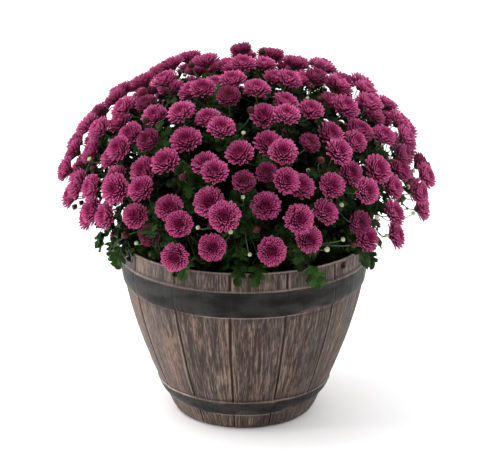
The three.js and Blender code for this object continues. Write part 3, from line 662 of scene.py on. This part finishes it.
# Living stem tissue: a satin green skin, paler and yellower in the young stalks near the flowers,
# brown in the old wood at the soil (tint 0 old, 1 young).
stem_green, tree, shader = new_material("green chrysanthemum stem")
tint = add("Attribute", out="Fac", attribute_name="tint")
mottle = add("TexNoise", {"Vector": add("TexCoord", out="Object"), "Scale": 300, "Detail": 2}, "Fac")
green = layered(
    "#2e2a18",
    (tint, 0, 0.4, 1, "#1f3316"),
    (tint, 0.4, 1, 1, "#73865a"),
    (mottle, 0.4, 0.75, 0.3, "#33451f"),
)
bump = add("Bump", {"Height": mottle, "Strength": 0.3, "Distance": 0.0004})
feed(shader, {"Base Color": green, "Normal": bump, "Roughness": 0.5, "Specular IOR Level": 0.2})

spread = HOLE_SPREAD * np.sqrt(np.arange(STEM_COUNT) + 0.5)
collar = unit(stem_way * [1, 1, 0]) * spread[:, None] + UP * (SOIL_TOP + SOIL_CROWN)
hub = from_heart(stem_way, stem_reach, HUB)
above_soil = bent(collar, (collar + hub) / 2 + UP * 8, hub, np.linspace(0, 1, 7))
trunk_paths = np.concatenate([(collar - UP * TRUNK_IN_SOIL)[:, None], above_soil], axis=1)
stub_top = spray_foot + spray_way * STUB_LENGTH
branch_middle = from_heart(unit(stem_way[spray_stem] + 1.3 * spray_way), spray_reach, 0.6)
branch_paths = bent(hub[spray_stem], branch_middle, stub_top, np.linspace(0, 1, 9))
head_base = centre - head_axis * np.where(is_bud, BUD_DROP, CUP_DROP)[:, None]
stalk_paths = swept(stub_top[head_spray], spray_way[head_spray], head_base + head_axis * 1.0, head_axis)


# ---- small buds ----------------------------------------------------------------------------------
# Each spray also carries round buds that haven't opened: pea-sized, cream-green in their bracts, or
# maroon where the petals begin to show. They stand on thin stalks in the gaps between the flowers.

BUD_COUNT, BUD_TRIES, BUD_SPACING, SMALL_BUD_RADIUS = 96, 2600, 13, (2.5, 3.8)
HALF_OPEN_RADIUS, HALF_OPEN_HEIGHT = 5.6, 10.5
BUD_PLACES = np.array([0.02, 0.16, 0.34, 0.55, 0.75, 0.92])
BUD_SIDES = 9

rng = np.random.default_rng(40)
try_theta = np.arccos(1 - rng.uniform(0.0, 1.28, BUD_TRIES))
try_place = dome_point(np.minimum(try_theta, LAST_THETA), rng.uniform(0, 2 * np.pi, BUD_TRIES))
try_place = HEART + (try_place - HEART) * rng.uniform(0.93, 1.035, BUD_TRIES)[:, None]
try_spray = np.argmax(unit(try_place - HEART) @ spray_way.T, axis=1)
try_axis = unit(unit(try_place - HEART) + 0.35 * UP + rng.uniform(-0.3, 0.3, (BUD_TRIES, 3)))
try_paths = swept(stub_top[try_spray], spray_way[try_spray], try_place, try_axis)


def room_from_heads(points):
    """How far each point stands outside the nearest head, read as a flat drum of the head's radius from
    10 mm under its centre to 9 mm over it: the larger of the two clearances, least over all heads."""
    offset = points[:, None] - centre[None]
    rise = np.einsum("phc,hc->ph", offset, head_axis)
    apart = np.sqrt(np.clip(np.sum(offset**2, -1) - rise**2, 0, None))
    over = np.abs(rise + 0.5) - 9.5
    return np.maximum(apart - head_radius, over).min(axis=1)


path_room = np.min([room_from_heads(try_paths[:, step]) for step in range(3, 8)], axis=0)
chosen = []
for k in np.flatnonzero((path_room > 0.6) & (room_from_heads(try_place) > 4.5)):
    if all(np.sum((try_place[k] - try_place[j]) ** 2) > BUD_SPACING**2 for j in chosen):
        chosen.append(k)
chosen = np.array(chosen[:BUD_COUNT])
small_radius = rng.uniform(*SMALL_BUD_RADIUS, len(chosen))
small_ripe = (rng.uniform(0, 1, len(chosen)) > 0.74).astype(float)
small_radius = small_radius + 1.1 * small_ripe

# A bud's skin: green bracts below, then either cream-green scales or the tips of maroon petals, with a
# soft shine. bud_place holds the share of the height, the share of the round, and how ripe it is.
bud_skin, tree, shader = new_material("chrysanthemum bud")
bud_place = add("Attribute", out="Vector", attribute_name="bud_place")
up_bud, round_bud, ripe = add("SeparateXYZ", [bud_place]).node.outputs
scales = add("Math", [add("Math", [round_bud, 56.5], operation="MULTIPLY")], operation="SINE")
scales = add("Math", [scales, 0.5, 0.5], operation="MULTIPLY_ADD")
cream = layered("#8f9868", (scales, 1, "#d3d6b0"), (up_bud, 0.6, 0.25, 1, "#66803f"))
maroon = layered(
    "#1e0508",
    (scales, 1, "#400d16"),
    (up_bud, 0.75, 1, 0.25, "#8a4a3c"),
    (up_bud, 0.38, 0.15, 1, "#3c4a24"),
)
bud_colour = layered(cream, (ripe, 1, maroon))
feed(shader, {"Base Color": bud_colour, "Roughness": 0.45, "Specular IOR Level": 0.15})


def buds(base, axis, radius, height, ripe):
    """Balls turned round their axes: radius x sin(pi x share^0.8) at each share of the height, less
    0.07 of it at every second corner, which gives shallow furrows from base to tip."""
    radius, height, ripe = (np.broadcast_to(value, len(base)) for value in (radius, height, ripe))
    u, v = across(axis, [0.3, 0.5, 0.81])
    out = turned(u[:, None, None], v[:, None, None], corners(BUD_SIDES))
    girth = np.sin(np.pi * BUD_PLACES**0.8)[:, None] * (1 - 0.07 * (np.arange(BUD_SIDES) % 2))
    up = axis[:, None, None] * (height[:, None] * BUD_PLACES)[..., None, None]
    ring = base[:, None, None] + up + out * (radius[:, None, None] * girth)[..., None]
    skin = closed_rings(ring, base, base + axis * height[:, None])
    place = joined(BUD_PLACES[:, None], np.arange(BUD_SIDES) / BUD_SIDES, ripe[:, None, None])
    ends = [joined(at, 0.0, ripe)[:, None] for at in (0.0, 1.0)]
    skin["attributes"] = {"bud_place": per_point(place, *ends)}
    return skin


# ---- petals --------------------------------------------------------------------------------------
# Double flowers of the cushion type: over a hundred strap-shaped ray petals in spiral tiers, the outer
# ones spread flat, the inner ones shorter and curled in over a dark eye. Each is a soft channelled
# strap with a blunt tip and silvery pink edges, darker along its midline as painted shade in the
# channel, and deep magenta towards its base, partly its own colour and partly painted shade where the
# petals crowd together.

PETALS_PER_FLOWER = 112
PETAL_WIDTH = 2.1  # half width of an outer petal
PETAL_STATIONS = np.array([0.55, 0.93])
PETAL_GIRTH = np.array([0.85, 1.0])
# From the eye to the lowest petals: the share of all petals passed, then how far out the tip stands in
# radii, how high in mm, and how steeply it points out of the flower's plane in degrees.
PETAL_TIERS = np.array([0.0, 0.08, 0.2, 0.35, 0.5, 0.64, 0.8, 1.0])
TIP_OUT = np.array([0.06, 0.2, 0.38, 0.57, 0.75, 0.9, 1.0, 0.98])
TIP_UP = np.array([6.4, 7.6, 9.2, 9.8, 9.0, 7.0, 3.4, -2.5])
TIP_PITCH = np.radians([100, 96, 86, 74, 62, 50, 32, -4])


def petals(which, seed):
    """Petal j of n leaves the receptacle at bearing j x golden angle. With s = (j + 0.5)/n, its tip is
    read off the tiers above, and it is a parabola from its foot that arrives there at the tier's pitch.
    Across, it is a shallow channel: the edges stand above the midline."""
    rng = np.random.default_rng(seed)
    shape = (len(which), PETALS_PER_FLOWER)
    n = shape[0] * shape[1]
    j = np.arange(PETALS_PER_FLOWER)
    s = np.broadcast_to((j + 0.5) / PETALS_PER_FLOWER, shape)
    size = head_radius[which][:, None]
    youth = 1 - opened[which][:, None]
    turn = j * GOLDEN_ANGLE + rng.uniform(0, 6.28, (shape[0], 1)) + rng.uniform(-0.05, 0.05, shape)
    out = size * (1 - 0.2 * youth) * np.interp(s, PETAL_TIERS, TIP_OUT) * rng.uniform(0.93, 1.03, shape)
    up = np.interp(s, PETAL_TIERS, TIP_UP) * size / 20 + rng.uniform(-1.1, 1.1, shape) + 2.5 * youth * s
    pitch = np.interp(s, PETAL_TIERS, TIP_PITCH) + rng.uniform(-0.25, 0.25, shape) + 0.4 * youth * s
    foot_out, foot_up = 0.5 + 2.5 * s, -3.0 - 4.0 * s
    pull = 0.5 * np.hypot(out - foot_out, up - foot_up)
    half_width = PETAL_WIDTH * (0.58 + 0.42 * s) * (size / 20) * rng.uniform(0.9, 1.1, shape)

    axis = head_axis[which]
    u, v = across(axis)
    ahead = turned(u[:, None], v[:, None], turn).reshape(n, 3)
    axis, origin = (np.repeat(vectors, PETALS_PER_FLOWER, axis=0) for vectors in (axis, centre[which]))
    side = np.cross(axis, ahead)[:, None]
    bow_out, bow_up = out - pull * np.cos(pitch), up - pull * np.sin(pitch)
    foot, bow, end = (
        origin + ahead * level.reshape(n, 1) + axis * high.reshape(n, 1)
        for level, high in ((foot_out, foot_up), (bow_out, bow_up), (out, up))
    )
    t = PETAL_STATIONS[:, None]
    line = bent(foot, bow, end, PETAL_STATIONS)
    heading = unit((bow - foot)[:, None] * (1 - t) + (end - bow)[:, None] * t)
    roll = rng.uniform(-0.25, 0.25, (n, 1))  # each petal rolls a little to one side
    side = turned(side, np.cross(heading, side), roll)
    face = np.cross(heading, side)
    half = (half_width.reshape(n, 1) * PETAL_GIRTH)[..., None]
    edges = [line - side * half + face * (0.5 * half), line + side * half + face * (0.5 * half)]
    rings = np.stack([edges[0], line - face * 0.45, edges[1], line + face * 0.15], axis=2)
    skin = closed_rings(rings, foot, end + face[:, -1] * 0.15)
    points_each = len(skin["points"]) // shape[0]
    tier = s.reshape(n, 1, 1)
    ends = [joined(at, at, tier[:, 0]) for at in (0.0, 1.0)]
    skin["attributes"] = {
        "petal": per_point(joined(t, [1.0, 0.3, 1.0, 0.0], tier), *ends),
        "flower_tone": np.repeat(rng.uniform(0, 1, shape[0]), points_each),
        "young": np.repeat(youth[:, 0], points_each),
        "back": per_point(np.broadcast_to([0.5, 1.0, 0.5, 0.0], (n, 2, 4)), 1.0, 0.5),
    }
    return skin


# Petal tissue: thin, satin and a little velvety. Deep wine in the heart of the flower, magenta in the
# middle, with silvery pink edges and tips; flowers differ a little, and young ones are darker. The
# attribute petal holds the place along, how near the edge, and the tier.
petal_tissue, tree, shader = new_material("magenta ray petal")
petal_place = add("Attribute", out="Vector", attribute_name="petal")
along, edge, tier = add("SeparateXYZ", [petal_place]).node.outputs
tone, young, back = (
    add("Attribute", out="Fac", attribute_name=name) for name in ("flower_tone", "young", "back")
)
veins = add("TexNoise", {"Vector": add("TexCoord", out="Object"), "Scale": 900, "Detail": 2}, "Fac")
paling = add("MapRange", [tier, 0.12, 0.5, 0.3, 1], **SMOOTHLY)
at_tip = add("MapRange", [along, 0.78, 1, 0, 0.9], **SMOOTHLY)
at_edge = add("MapRange", [edge, 0.35, 1, 0, 1], **SMOOTHLY)
past_foot = add("MapRange", [along, 0.55, 0.92, 0, 1], **SMOOTHLY)
tips = add("Math", [paling, at_tip], operation="MULTIPLY")
edges = add("Math", [at_edge, past_foot], operation="MULTIPLY")
edges = add("Math", [edges, paling], operation="MULTIPLY")
eye = add("MapRange", [tier, 0.3, 0.05, 0, 1], **SMOOTHLY)
# The midline is set darker than the edges as painted shade in the channel, and the foot darker, partly
# its own deeper colour and partly painted shade among the crowded petals.
magenta = layered(
    layered("#850f49", (edge, 0, 0.5, 1, "#c52e78")),
    (along, 0.94, 0.42, 1, "#42021d"),
    (tips, 1, "#ca5391"),
    (edges, 1, "#e694be"),
    (back, 0.35, "#ba5c8a"),
    (tier, 0.32, 0, 0.6, "#5e0a36"),
    (veins, 0.45, 0.7, 0.3, "#8a2858"),
    (tone, 0.3, "#8c2456"),
    (young, 0.55, "#5c0d33"),
    (add("Math", [young, eye], operation="MULTIPLY"), 0.5, "#6b4a35"),
)
feed(shader, {"Base Color": magenta, "Roughness": 0.55, "Specular IOR Level": 0.06})


# ---- cups under the flowers ----------------------------------------------------------------------
# The green cup of overlapping bracts that holds each flower's petals, swelling out of its stalk.

# Station by station: how high and how wide, and how much higher every second corner stands.
CUP_RISE, CUP_GIRTH = np.array([0.0, 1.2, 3.6, 6.2]), np.array([1.0, 3.2, 5.4, 6.4])
CUP_NOTCH, CUP_SIDES = np.array([0, 0, 0.2, 1.2]), 10


def cups(which):
    """Cups turned round the flower's axis: from the stalk's 1 mm out to 6.4 mm, 6 mm further up, with a
    rim cut into bracts whose tips stand 1.2 mm higher at every second corner."""
    notched = (np.arange(CUP_SIDES) % 2) * CUP_NOTCH[:, None]
    axis = head_axis[which]
    u, v = across(axis)
    base = centre[which] - axis * (CUP_DROP - 0.5)
    out = turned(u[:, None, None], v[:, None, None], corners(CUP_SIDES)) * CUP_GIRTH[:, None, None]
    ring = base[:, None, None] + out + axis[:, None, None] * (CUP_RISE[:, None] + notched)[..., None]
    skin = closed_rings(ring, base, base + axis * 3.0)
    skin["attributes"] = {"tint": np.full(len(skin["points"]), 0.5)}
    return skin


# ---- leaves --------------------------------------------------------------------------------------
# Chrysanthemum leaves: 25 to 50 mm long, deep green, soft and slightly greyed by fine hairs, cut into
# two or three pairs of rounded lobes with blunt teeth. They fill the bush under the flowers, and the
# lowest ones hang over the lip of the pot.

# Stations along the midrib, and there the half width and how far the lobe points ahead, in lengths.
LEAF_PLACE = np.array([0, 11, 18, 25, 32, 38, 45, 53, 59, 66, 73, 78, 85, 92, 96.5]) / 100
LEAF_HALF = np.array([1.8, 2, 13, 26, 25, 13, 32, 35, 16, 29, 28, 15, 19, 14, 7]) / 100
LEAF_AHEAD = np.array([0, 0, 0, 2, 5, 0, 3, 7, 0, 4, 7, 0, 2, 2, 0]) / 100
LEAF_ACROSS = np.array([-1, 0, 1, 0.5, 0, -0.5])
LEAVES_PER_BRANCH = 13


def leaves(start, ahead, face, length, droop, painted_light_and_shade, seed):
    """Blades along midribs that leave start ahead, rise a little and then droop with the square of the
    way along. The half width follows the lobed outline above, both halves fold up from the midrib and
    swell between it and the edge, and the edge waves."""
    rng = np.random.default_rng(seed)
    n, stations = len(start), len(LEAF_PLACE)
    face, side = across(ahead, face)
    face, side, ahead = face[:, None], -side[:, None], ahead[:, None]
    size, droop = length[:, None, None], droop[:, None, None]
    t = (LEAF_PLACE + rng.uniform(-0.008, 0.008, (n, stations)) * (LEAF_PLACE > 0))[..., None]
    curl = rng.uniform(-0.12, 0.12, (n, 1, 1))
    line = start[:, None] + ahead * (size * t * (1 - 0.25 * droop * t))
    line = line + face * (size * (0.12 * t - droop * t**2)) + side * (size * curl * t**2)
    heading = unit(np.gradient(line, axis=1))
    normal = unit(np.cross(heading, side))
    normal = normal * np.sign(np.sum(normal * face, -1, keepdims=True) + 1e-9)
    half = LEAF_HALF[:, None] * size * rng.uniform(0.88, 1.12, (n, 1, 1))
    fold = rng.uniform(0.05, 0.4, (n, 1, 1))
    wave = 0.055 * size * np.sin(t * 17 + rng.uniform(0, 6.28, (n, 1, 1)))
    lobe = (LEAF_AHEAD[:, None] * size) * heading
    halves = []
    for sign in (-1, 1):
        own = half * rng.uniform(0.88, 1.12, (n, stations, 1))
        reach = sign * own * np.cos(fold)
        lift = own * np.sin(fold) + sign * wave * (own / size > 0.03)
        edge = line + side * reach + normal * lift + lobe
        middle = line + side * (0.5 * reach) + lobe * 0.4 + normal * (0.5 * lift + 0.16 * own)
        halves.append((edge, middle))
    (left, left_middle), (right, right_middle) = halves
    ring = [left, line - normal * 0.8, right, right_middle, line + normal * 0.1, left_middle]
    tip = line[:, -1] + heading[:, -1] * (length * 0.04)[:, None]
    skin = closed_rings(np.stack(ring, axis=2), start, tip)
    place = joined(LEAF_ACROSS * (half / size) * 3, t, painted_light_and_shade[:, None, None])
    ends = [joined(0.0, at, painted_light_and_shade)[:, None] for at in (0.0, 1.0)]
    skin["attributes"] = {"blade": per_point(place, *ends)}
    return skin


# Leaf blade: matt above, a little shiny on its swellings, deep green, with a paler midrib and side
# veins 5 mm apart. The attribute blade holds the place across, the place along, and the painted light
# and shade: from -1, painted light on leaves out at the edge of the bush, to 1, near-black painted
# shade deep inside it.
blade_tissue, tree, shader = new_material("chrysanthemum leaf blade")
blade = add("Attribute", out="Vector", attribute_name="blade")
across_leaf, along_leaf, painted_light_and_shade = add("SeparateXYZ", [blade]).node.outputs
across_leaf = add("Math", [across_leaf], operation="ABSOLUTE")
mottle = add("TexNoise", {"Vector": add("TexCoord", out="Object"), "Scale": 110, "Detail": 3}, "Fac")
side_veins = add("Math", [across_leaf, -0.32, along_leaf], operation="MULTIPLY_ADD")
side_veins = add("Math", [side_veins, 7.5], operation="MULTIPLY")
side_veins = add("Math", [side_veins, 0.5], operation="PINGPONG")
midrib = add("MapRange", [across_leaf, 0.07, 0, 0, 1], **SMOOTHLY)
side_veins = add("MapRange", [side_veins, 0.1, 0, 0, 0.6], **SMOOTHLY)
is_vein = add("Math", [midrib, side_veins], operation="MAXIMUM")
leaf_green = layered(
    "#13250a",
    (mottle, 0.35, 0.7, 1, "#284614"),
    # Painted shade: near-black on leaves deep in the bush; painted light: a paler green on outer ones.
    (painted_light_and_shade, 0, 1, 1, "#070603"),
    (painted_light_and_shade, 0, -1, 1, "#486e32"),
    (is_vein, 0.4, "#3f5c28"),
)
quilted = add("Math", [is_vein, -1, mottle], operation="MULTIPLY_ADD")
bump = add("Bump", {"Height": quilted, "Strength": 0.5, "Distance": 0.0012})
feed(shader, {"Base Color": leaf_green, "Normal": bump, "Roughness": 0.55, "Specular IOR Level": 0.08})


def branch_leaves(which, seed, innermost=0.56, outermost=0.91, more_painted_shade=0.0, count=LEAVES_PER_BRANCH):
    """Leaves round the branches to the given sprays, at rising shares of the way out and at
    golden-angle bearings round the branch; each leans by 0 to 42 degrees from square to the branch
    towards its tip. The inner ones are darkened as painted shade; the last but one argument adds more
    of it, and a negative value gives less."""
    rng = np.random.default_rng(seed)
    branch, step = np.repeat(which, count), np.tile(np.arange(count), len(which))
    n = len(step)
    share = (step + rng.uniform(0.1, 0.9, n)) / count
    share = innermost + (outermost - innermost) * share**0.85
    way = spray_way[branch]
    turn = step * GOLDEN_ANGLE + branch * 1.7 + rng.uniform(-0.3, 0.3, n)
    level = turned(*across(way), turn)
    ahead = unit(turned(level, way, np.radians(rng.uniform(0, 42, n))))
    start = from_heart(way, spray_reach[branch], share) + level
    length = rng.uniform(0.8, 1.1, n) * (46 - 16 * (share - 0.56) / 0.35)
    # painted shade, deeper the further in the leaf starts
    painted_light_and_shade = np.clip(1.3 - 3.6 * (share - 0.56) + rng.uniform(-0.3, 0.3, n) + more_painted_shade, 0, 1)
    return leaves(start, ahead, way + 0.35 * UP, length, rng.uniform(0.05, 0.35, n), painted_light_and_shade, seed + 1)


def stalk_leaves(which, seed):
    """One small leaf on each given stalk, a quarter to a half of the way up, on a random side of it."""
    rng = np.random.default_rng(seed)
    n = len(which)
    step = rng.integers(2, 5, n)
    start = stalk_paths[which, step]
    along = unit(stalk_paths[which, step + 1] - start)
    u, v = across(along, round_the_bush(spray_way[head_spray[which]]))
    ahead = unit(turned(u, v, rng.uniform(0, 2 * np.pi, n)) + along * rng.uniform(0.2, 0.9, (n, 1)))
    # each leaf gets a little painted shade, at random
    length, droop, painted_light_and_shade = rng.uniform(17, 27, n), rng.uniform(0, 0.3, n), rng.uniform(0, 0.5, n)
    return leaves(start, ahead, along + 0.3 * UP, length, droop, painted_light_and_shade, seed + 1)


LOWEST_RISE = np.sin(np.radians(28))
RIM_BEARINGS = np.array([-72, -24, -1, 8, 60, 90, 118, 146, 175, 203, 232, 260.0])
HANGING_BEARINGS = np.array([-83, -66, 28, 69, 132, 188, 244.0])
SKIRT_COUNT = 156
skirt = (np.arange(SKIRT_COUNT) * 37 % SKIRT_COUNT) * 360 / SKIRT_COUNT
skirt = np.split(skirt + np.random.default_rng(64).uniform(-2, 2, SKIRT_COUNT), [54, 104])
# Over the lip, hanging outside it, and in three rings between the lip and the lowest flowers: the
# bearings, radii and heights of the feet, the heading (out, then least and most up), the facing (out
# and up), the share turned to the front, the lengths, the droops and a seed.
LIP_LEAVES = [
    (RIM_BEARINGS, (150, 156), (250, 257), (1, 0, 0.1), (0.3, 1), 0, (34, 44), (0.7, 1), 900),
    (HANGING_BEARINGS, (165, 172), (244, 252), (0.3, -1, -0.9), (1, 0.1), 0.6, (35, 42), (0, 0.2), 930),
    (skirt[0], (104, 126), (256, 278), (0.6, -0.5, 1), (1, 0.4), 0, (30, 42), (0, 0.3), 950),
    (skirt[1], (124, 146), (240, 254), (0.6, -0.2, 0.9), (1, 0.4), 0, (26, 38), (0, 0.4), 970),
    (skirt[2], (112, 134), (226, 240), (0.6, 0, 0.9), (1, 0.5), 0, (28, 40), (0, 0.4), 990),
]


def lip_leaves(which, wanted, radius, height, heading, facing, to_front, lengths, droops, seed):
    """The leaves of one row above that the lowest of the given branches carry: each wanted bearing
    falls to the low branch that is nearest to it. Also the stalks that carry them."""
    rng = np.random.default_rng(seed)
    low = np.flatnonzero(spray_way[:, 2] < LOWEST_RISE)
    stands_at = np.degrees(np.arctan2(spray_way[low, 0], -spray_way[low, 1]))
    gap = np.abs((wanted[:, None] - stands_at + 180) % 360 - 180)
    carrier = low[np.argmin(gap, axis=1)]
    mine = np.isin(carrier, which)
    carrier, turn = carrier[mine], np.radians(wanted[mine] - 90)
    n = len(turn)
    out = polar(1.0, turn, 0.0)
    start = out * rng.uniform(*radius, (n, 1)) + UP * rng.uniform(*height, (n, 1))
    ahead = out * heading[0] + UP * rng.uniform(*heading[1:], (n, 1))
    ahead = unit(ahead + round_the_bush(out) * rng.uniform(-0.4, 0.4, (n, 1)))
    front = unit(out * (1 - to_front) + np.array([0, -1.0, 0]) * to_front)
    normal = front * facing[0] + UP * facing[1]
    # a random amount of painted light and shade on each leaf
    length, droop, painted_light_and_shade = rng.uniform(*lengths, n), rng.uniform(*droops, n), rng.uniform(-0.5, 0.45, n)
    skin = leaves(start, ahead, normal, length, droop, painted_light_and_shade, seed + 1)
    root = from_heart(spray_way[carrier], spray_reach[carrier], 0.6)
    stalk = bent(root, (root + start) / 2 + UP * 4, start + ahead, np.linspace(0, 1, 6))
    return skin, tubes(stalk, LEAF_STALK_RADII, 5, (0.35, 0.35))


# ---- putting the plant together ------------------------------------------------------------------
# One set of pieces for each leafy stem: its wood and stalks, its leaves, its open flowers, its buds.

CORE_SHARES, CORE_END = np.array([0.4, 0.46, 0.53, 0.575, 0.6]), 0.61
CORE_SPREADS = np.radians([6, 14, 20, 16, 8])
CORE_SIDES, INNER_LEAVES = 18, 15
LOW_RISE = 0.42  # branches whose direction rises less than this carry leaves further out


def leafy_core(stem, seed):
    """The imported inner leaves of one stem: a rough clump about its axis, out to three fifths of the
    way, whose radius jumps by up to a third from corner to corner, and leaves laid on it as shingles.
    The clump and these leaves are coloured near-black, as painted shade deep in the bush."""
    rng = np.random.default_rng(seed)
    way, reach = stem_way[stem], stem_reach[stem]
    u, v = across(way)
    spread = CORE_SPREADS[:, None] * rng.uniform(0.66, 1.1, (len(CORE_SHARES), CORE_SIDES))
    share = CORE_SHARES[:, None] + rng.uniform(-0.02, 0.02, spread.shape)
    ring = from_heart(turned(way, turned(u, v, corners(CORE_SIDES)), spread), reach, share)
    clump = closed_rings(ring[None], hub[stem][None], (HEART + way * reach * CORE_END)[None])
    # The clump takes the darkest leaf colour: painted shade filling the inside of the bush.
    clump["attributes"] = {"blade": np.broadcast_to([0.5, 0.5, 1.0], (len(clump["points"]), 3))}

    place = np.arange(INNER_LEAVES)
    level = turned(u, v, place * GOLDEN_ANGLE)
    direction = turned(way, level, np.radians(24) * np.sqrt((place + 0.5) / INNER_LEAVES))
    start = HEART + direction * reach * rng.uniform(0.52, 0.6, INNER_LEAVES)[:, None]
    ahead = unit(level + way * rng.uniform(0.1, 0.9, INNER_LEAVES)[:, None])
    # strong painted shade on these inner leaves
    length, painted_light_and_shade = rng.uniform(38, 50, INNER_LEAVES), rng.uniform(0.6, 1.0, INNER_LEAVES)
    droop = rng.uniform(0, 0.3, INNER_LEAVES)
    return [clump, leaves(start, ahead, direction + 0.2 * UP, length, droop, painted_light_and_shade, seed + 7)]


for stem in range(STEM_COUNT):
    number = "_%02d" % (stem + 1)
    own_sprays = np.flatnonzero(spray_stem == stem)
    low_sprays = own_sprays[spray_way[own_sprays, 2] < LOW_RISE]
    own_heads = np.flatnonzero(head_stem == stem)
    flowers, half_open = own_heads[~is_bud[own_heads]], own_heads[is_bud[own_heads]]
    small = np.flatnonzero(np.isin(try_spray[chosen], own_sprays))
    rows = [lip_leaves(own_sprays, *row, seed + stem) for *row, seed in LIP_LEAVES]
    edge_leaves, edge_stalks = zip(*rows)

    skins = [
        tubes(trunk_paths[[stem]], TRUNK_RADII, 8, (0.12, 0.12)),
        tubes(branch_paths[own_sprays], BRANCH_RADII, 6, (0.35, 0.35)),
        tubes(stalk_paths[own_heads], STALK_RADII, 5, (0.1, 0.7)),
        tubes(try_paths[chosen[small]], BUD_STALK_RADII, 5, (0.2, 0.85)),
        cups(flowers),
        *edge_stalks,
    ]
    add_piece("stems" + number, skins, stem_green, 60)

    # The leaves' painted shade: more on the branches inside the bush, less on the low ones at the edge.
    leafy = [
        branch_leaves(own_sprays, 100 + 10 * stem, more_painted_shade=0.2),
        *leafy_core(stem, 500 + stem),
        stalk_leaves(own_heads, 700 + 10 * stem),
        stalk_leaves(own_heads, 1700 + 10 * stem),
        branch_leaves(low_sprays, 1200 + 10 * stem, 0.6, 0.95, -0.4),
        branch_leaves(np.setdiff1d(own_sprays, low_sprays), 1601 + 10 * stem, 0.66, 0.94, 0.1, 9),
        *edge_leaves,
    ]
    leaf_piece = add_piece("leaves" + number, leafy, blade_tissue, 50)
    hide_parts("leafy_stem" + number)

    blooms = [petals(flowers, 300 + stem)]
    flower_piece = add_piece("flowers" + number, blooms, petal_tissue, 70)
    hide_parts(*["spray_%02d" % (k + 1) for k in own_sprays])

    way, place = head_axis[half_open], centre[half_open]
    ready = buds(place - way * BUD_DROP, way, HALF_OPEN_RADIUS, HALF_OPEN_HEIGHT, 1.0)
    way, place = try_axis[chosen[small]], try_place[chosen[small]]
    closed = buds(place - way, way, small_radius[small], small_radius[small] * 1.8, small_ripe[small])
    add_piece("buds" + number, [ready, closed], bud_skin, 60)


# ---- studio --------------------------------------------------------------------------------------
# A pale paper floor under soft light: a broad lamp above and to the left of the front, weaker ones to
# the left and right, a narrow one low on the left that reaches the pot alone, and a white sky.

FLOOR_HALF = 30.0
# Name, place, aim, size, power and spread in degrees.
LAMPS = [
    ("key", (-1.0, -0.6, 2.2), (0, 0, 0.3), 0.9, 27, 180),
    ("left", (-1.9, 0.0, 0.2), (0, 0, 0.1), 0.7, 7.2, 180),
    ("low left", (-1.8, -0.2, 0.1), (-0.1, 0, 0.05), 0.3, 0.52, 16),
    ("right", (1.9, 0.3, 0.7), (0, 0, 0.15), 1.0, 6.2, 180),
]
CAMERA_LENS, CAMERA_AWAY, CAMERA_TILT = 122.4, 2.2, np.radians(17)

floor_mesh = bpy.data.meshes.new("floor")
floor_corners = [(x * FLOOR_HALF, y * FLOOR_HALF, 0) for x, y in ((-1, -1), (1, -1), (1, 1), (-1, 1))]
floor_mesh.from_pydata(floor_corners, [], [(0, 1, 2, 3)])
floor = bpy.data.objects.new("floor", floor_mesh)
bpy.context.scene.collection.objects.link(floor)
paper, tree, shader = new_material("white studio paper")
feed(shader, {"Base Color": "#fdfdfd", "Roughness": 0.9})
floor_mesh.materials.append(paper)

# The sky is a light tent, brighter behind the plant (+Y) and overhead than in front of it.
world = bpy.data.worlds.new("studio")
world.use_nodes = True
tree = world.node_tree
_, depth, height = add("SeparateXYZ", [add("TexCoord", out="Generated")]).node.outputs
strength = add("Math", [depth, 0.6, 0.96], operation="MULTIPLY_ADD")
strength = add("Math", [height, 0.6, strength], operation="MULTIPLY_ADD")
feed(tree.nodes["Background"], {"Color": (1.0, 1.0, 1.0, 1.0), "Strength": strength})
bpy.context.scene.world = world


def place_and_aim(name, data, location, aim):
    """Links a lamp or camera that stands at location and looks at aim, upright."""
    holder = bpy.data.objects.new(name, data)
    holder.location = location
    holder.rotation_euler = (Vector(aim) - Vector(location)).to_track_quat("-Z", "Y").to_euler()
    bpy.context.scene.collection.objects.link(holder)
    return holder


for name, location, aim, size, power, spread in LAMPS:
    lamp = bpy.data.lights.new(name, "AREA")
    lamp.shape, lamp.size, lamp.energy, lamp.spread = "SQUARE", size, power, np.radians(spread)
    place_and_aim(name, lamp, location, aim)

# A long lens some two metres off, looking 17 degrees down at the middle of the plant.
camera = bpy.data.cameras.new("camera")
camera.sensor_width = 36
camera.lens = CAMERA_LENS
aim = Vector((-0.004, 0, 0.2365))
viewpoint = aim + CAMERA_AWAY * Vector((0, -np.cos(CAMERA_TILT), np.sin(CAMERA_TILT)))
bpy.context.scene.camera = place_and_aim("camera", camera, viewpoint, aim)
bpy.context.scene.view_settings.view_transform = "Standard"
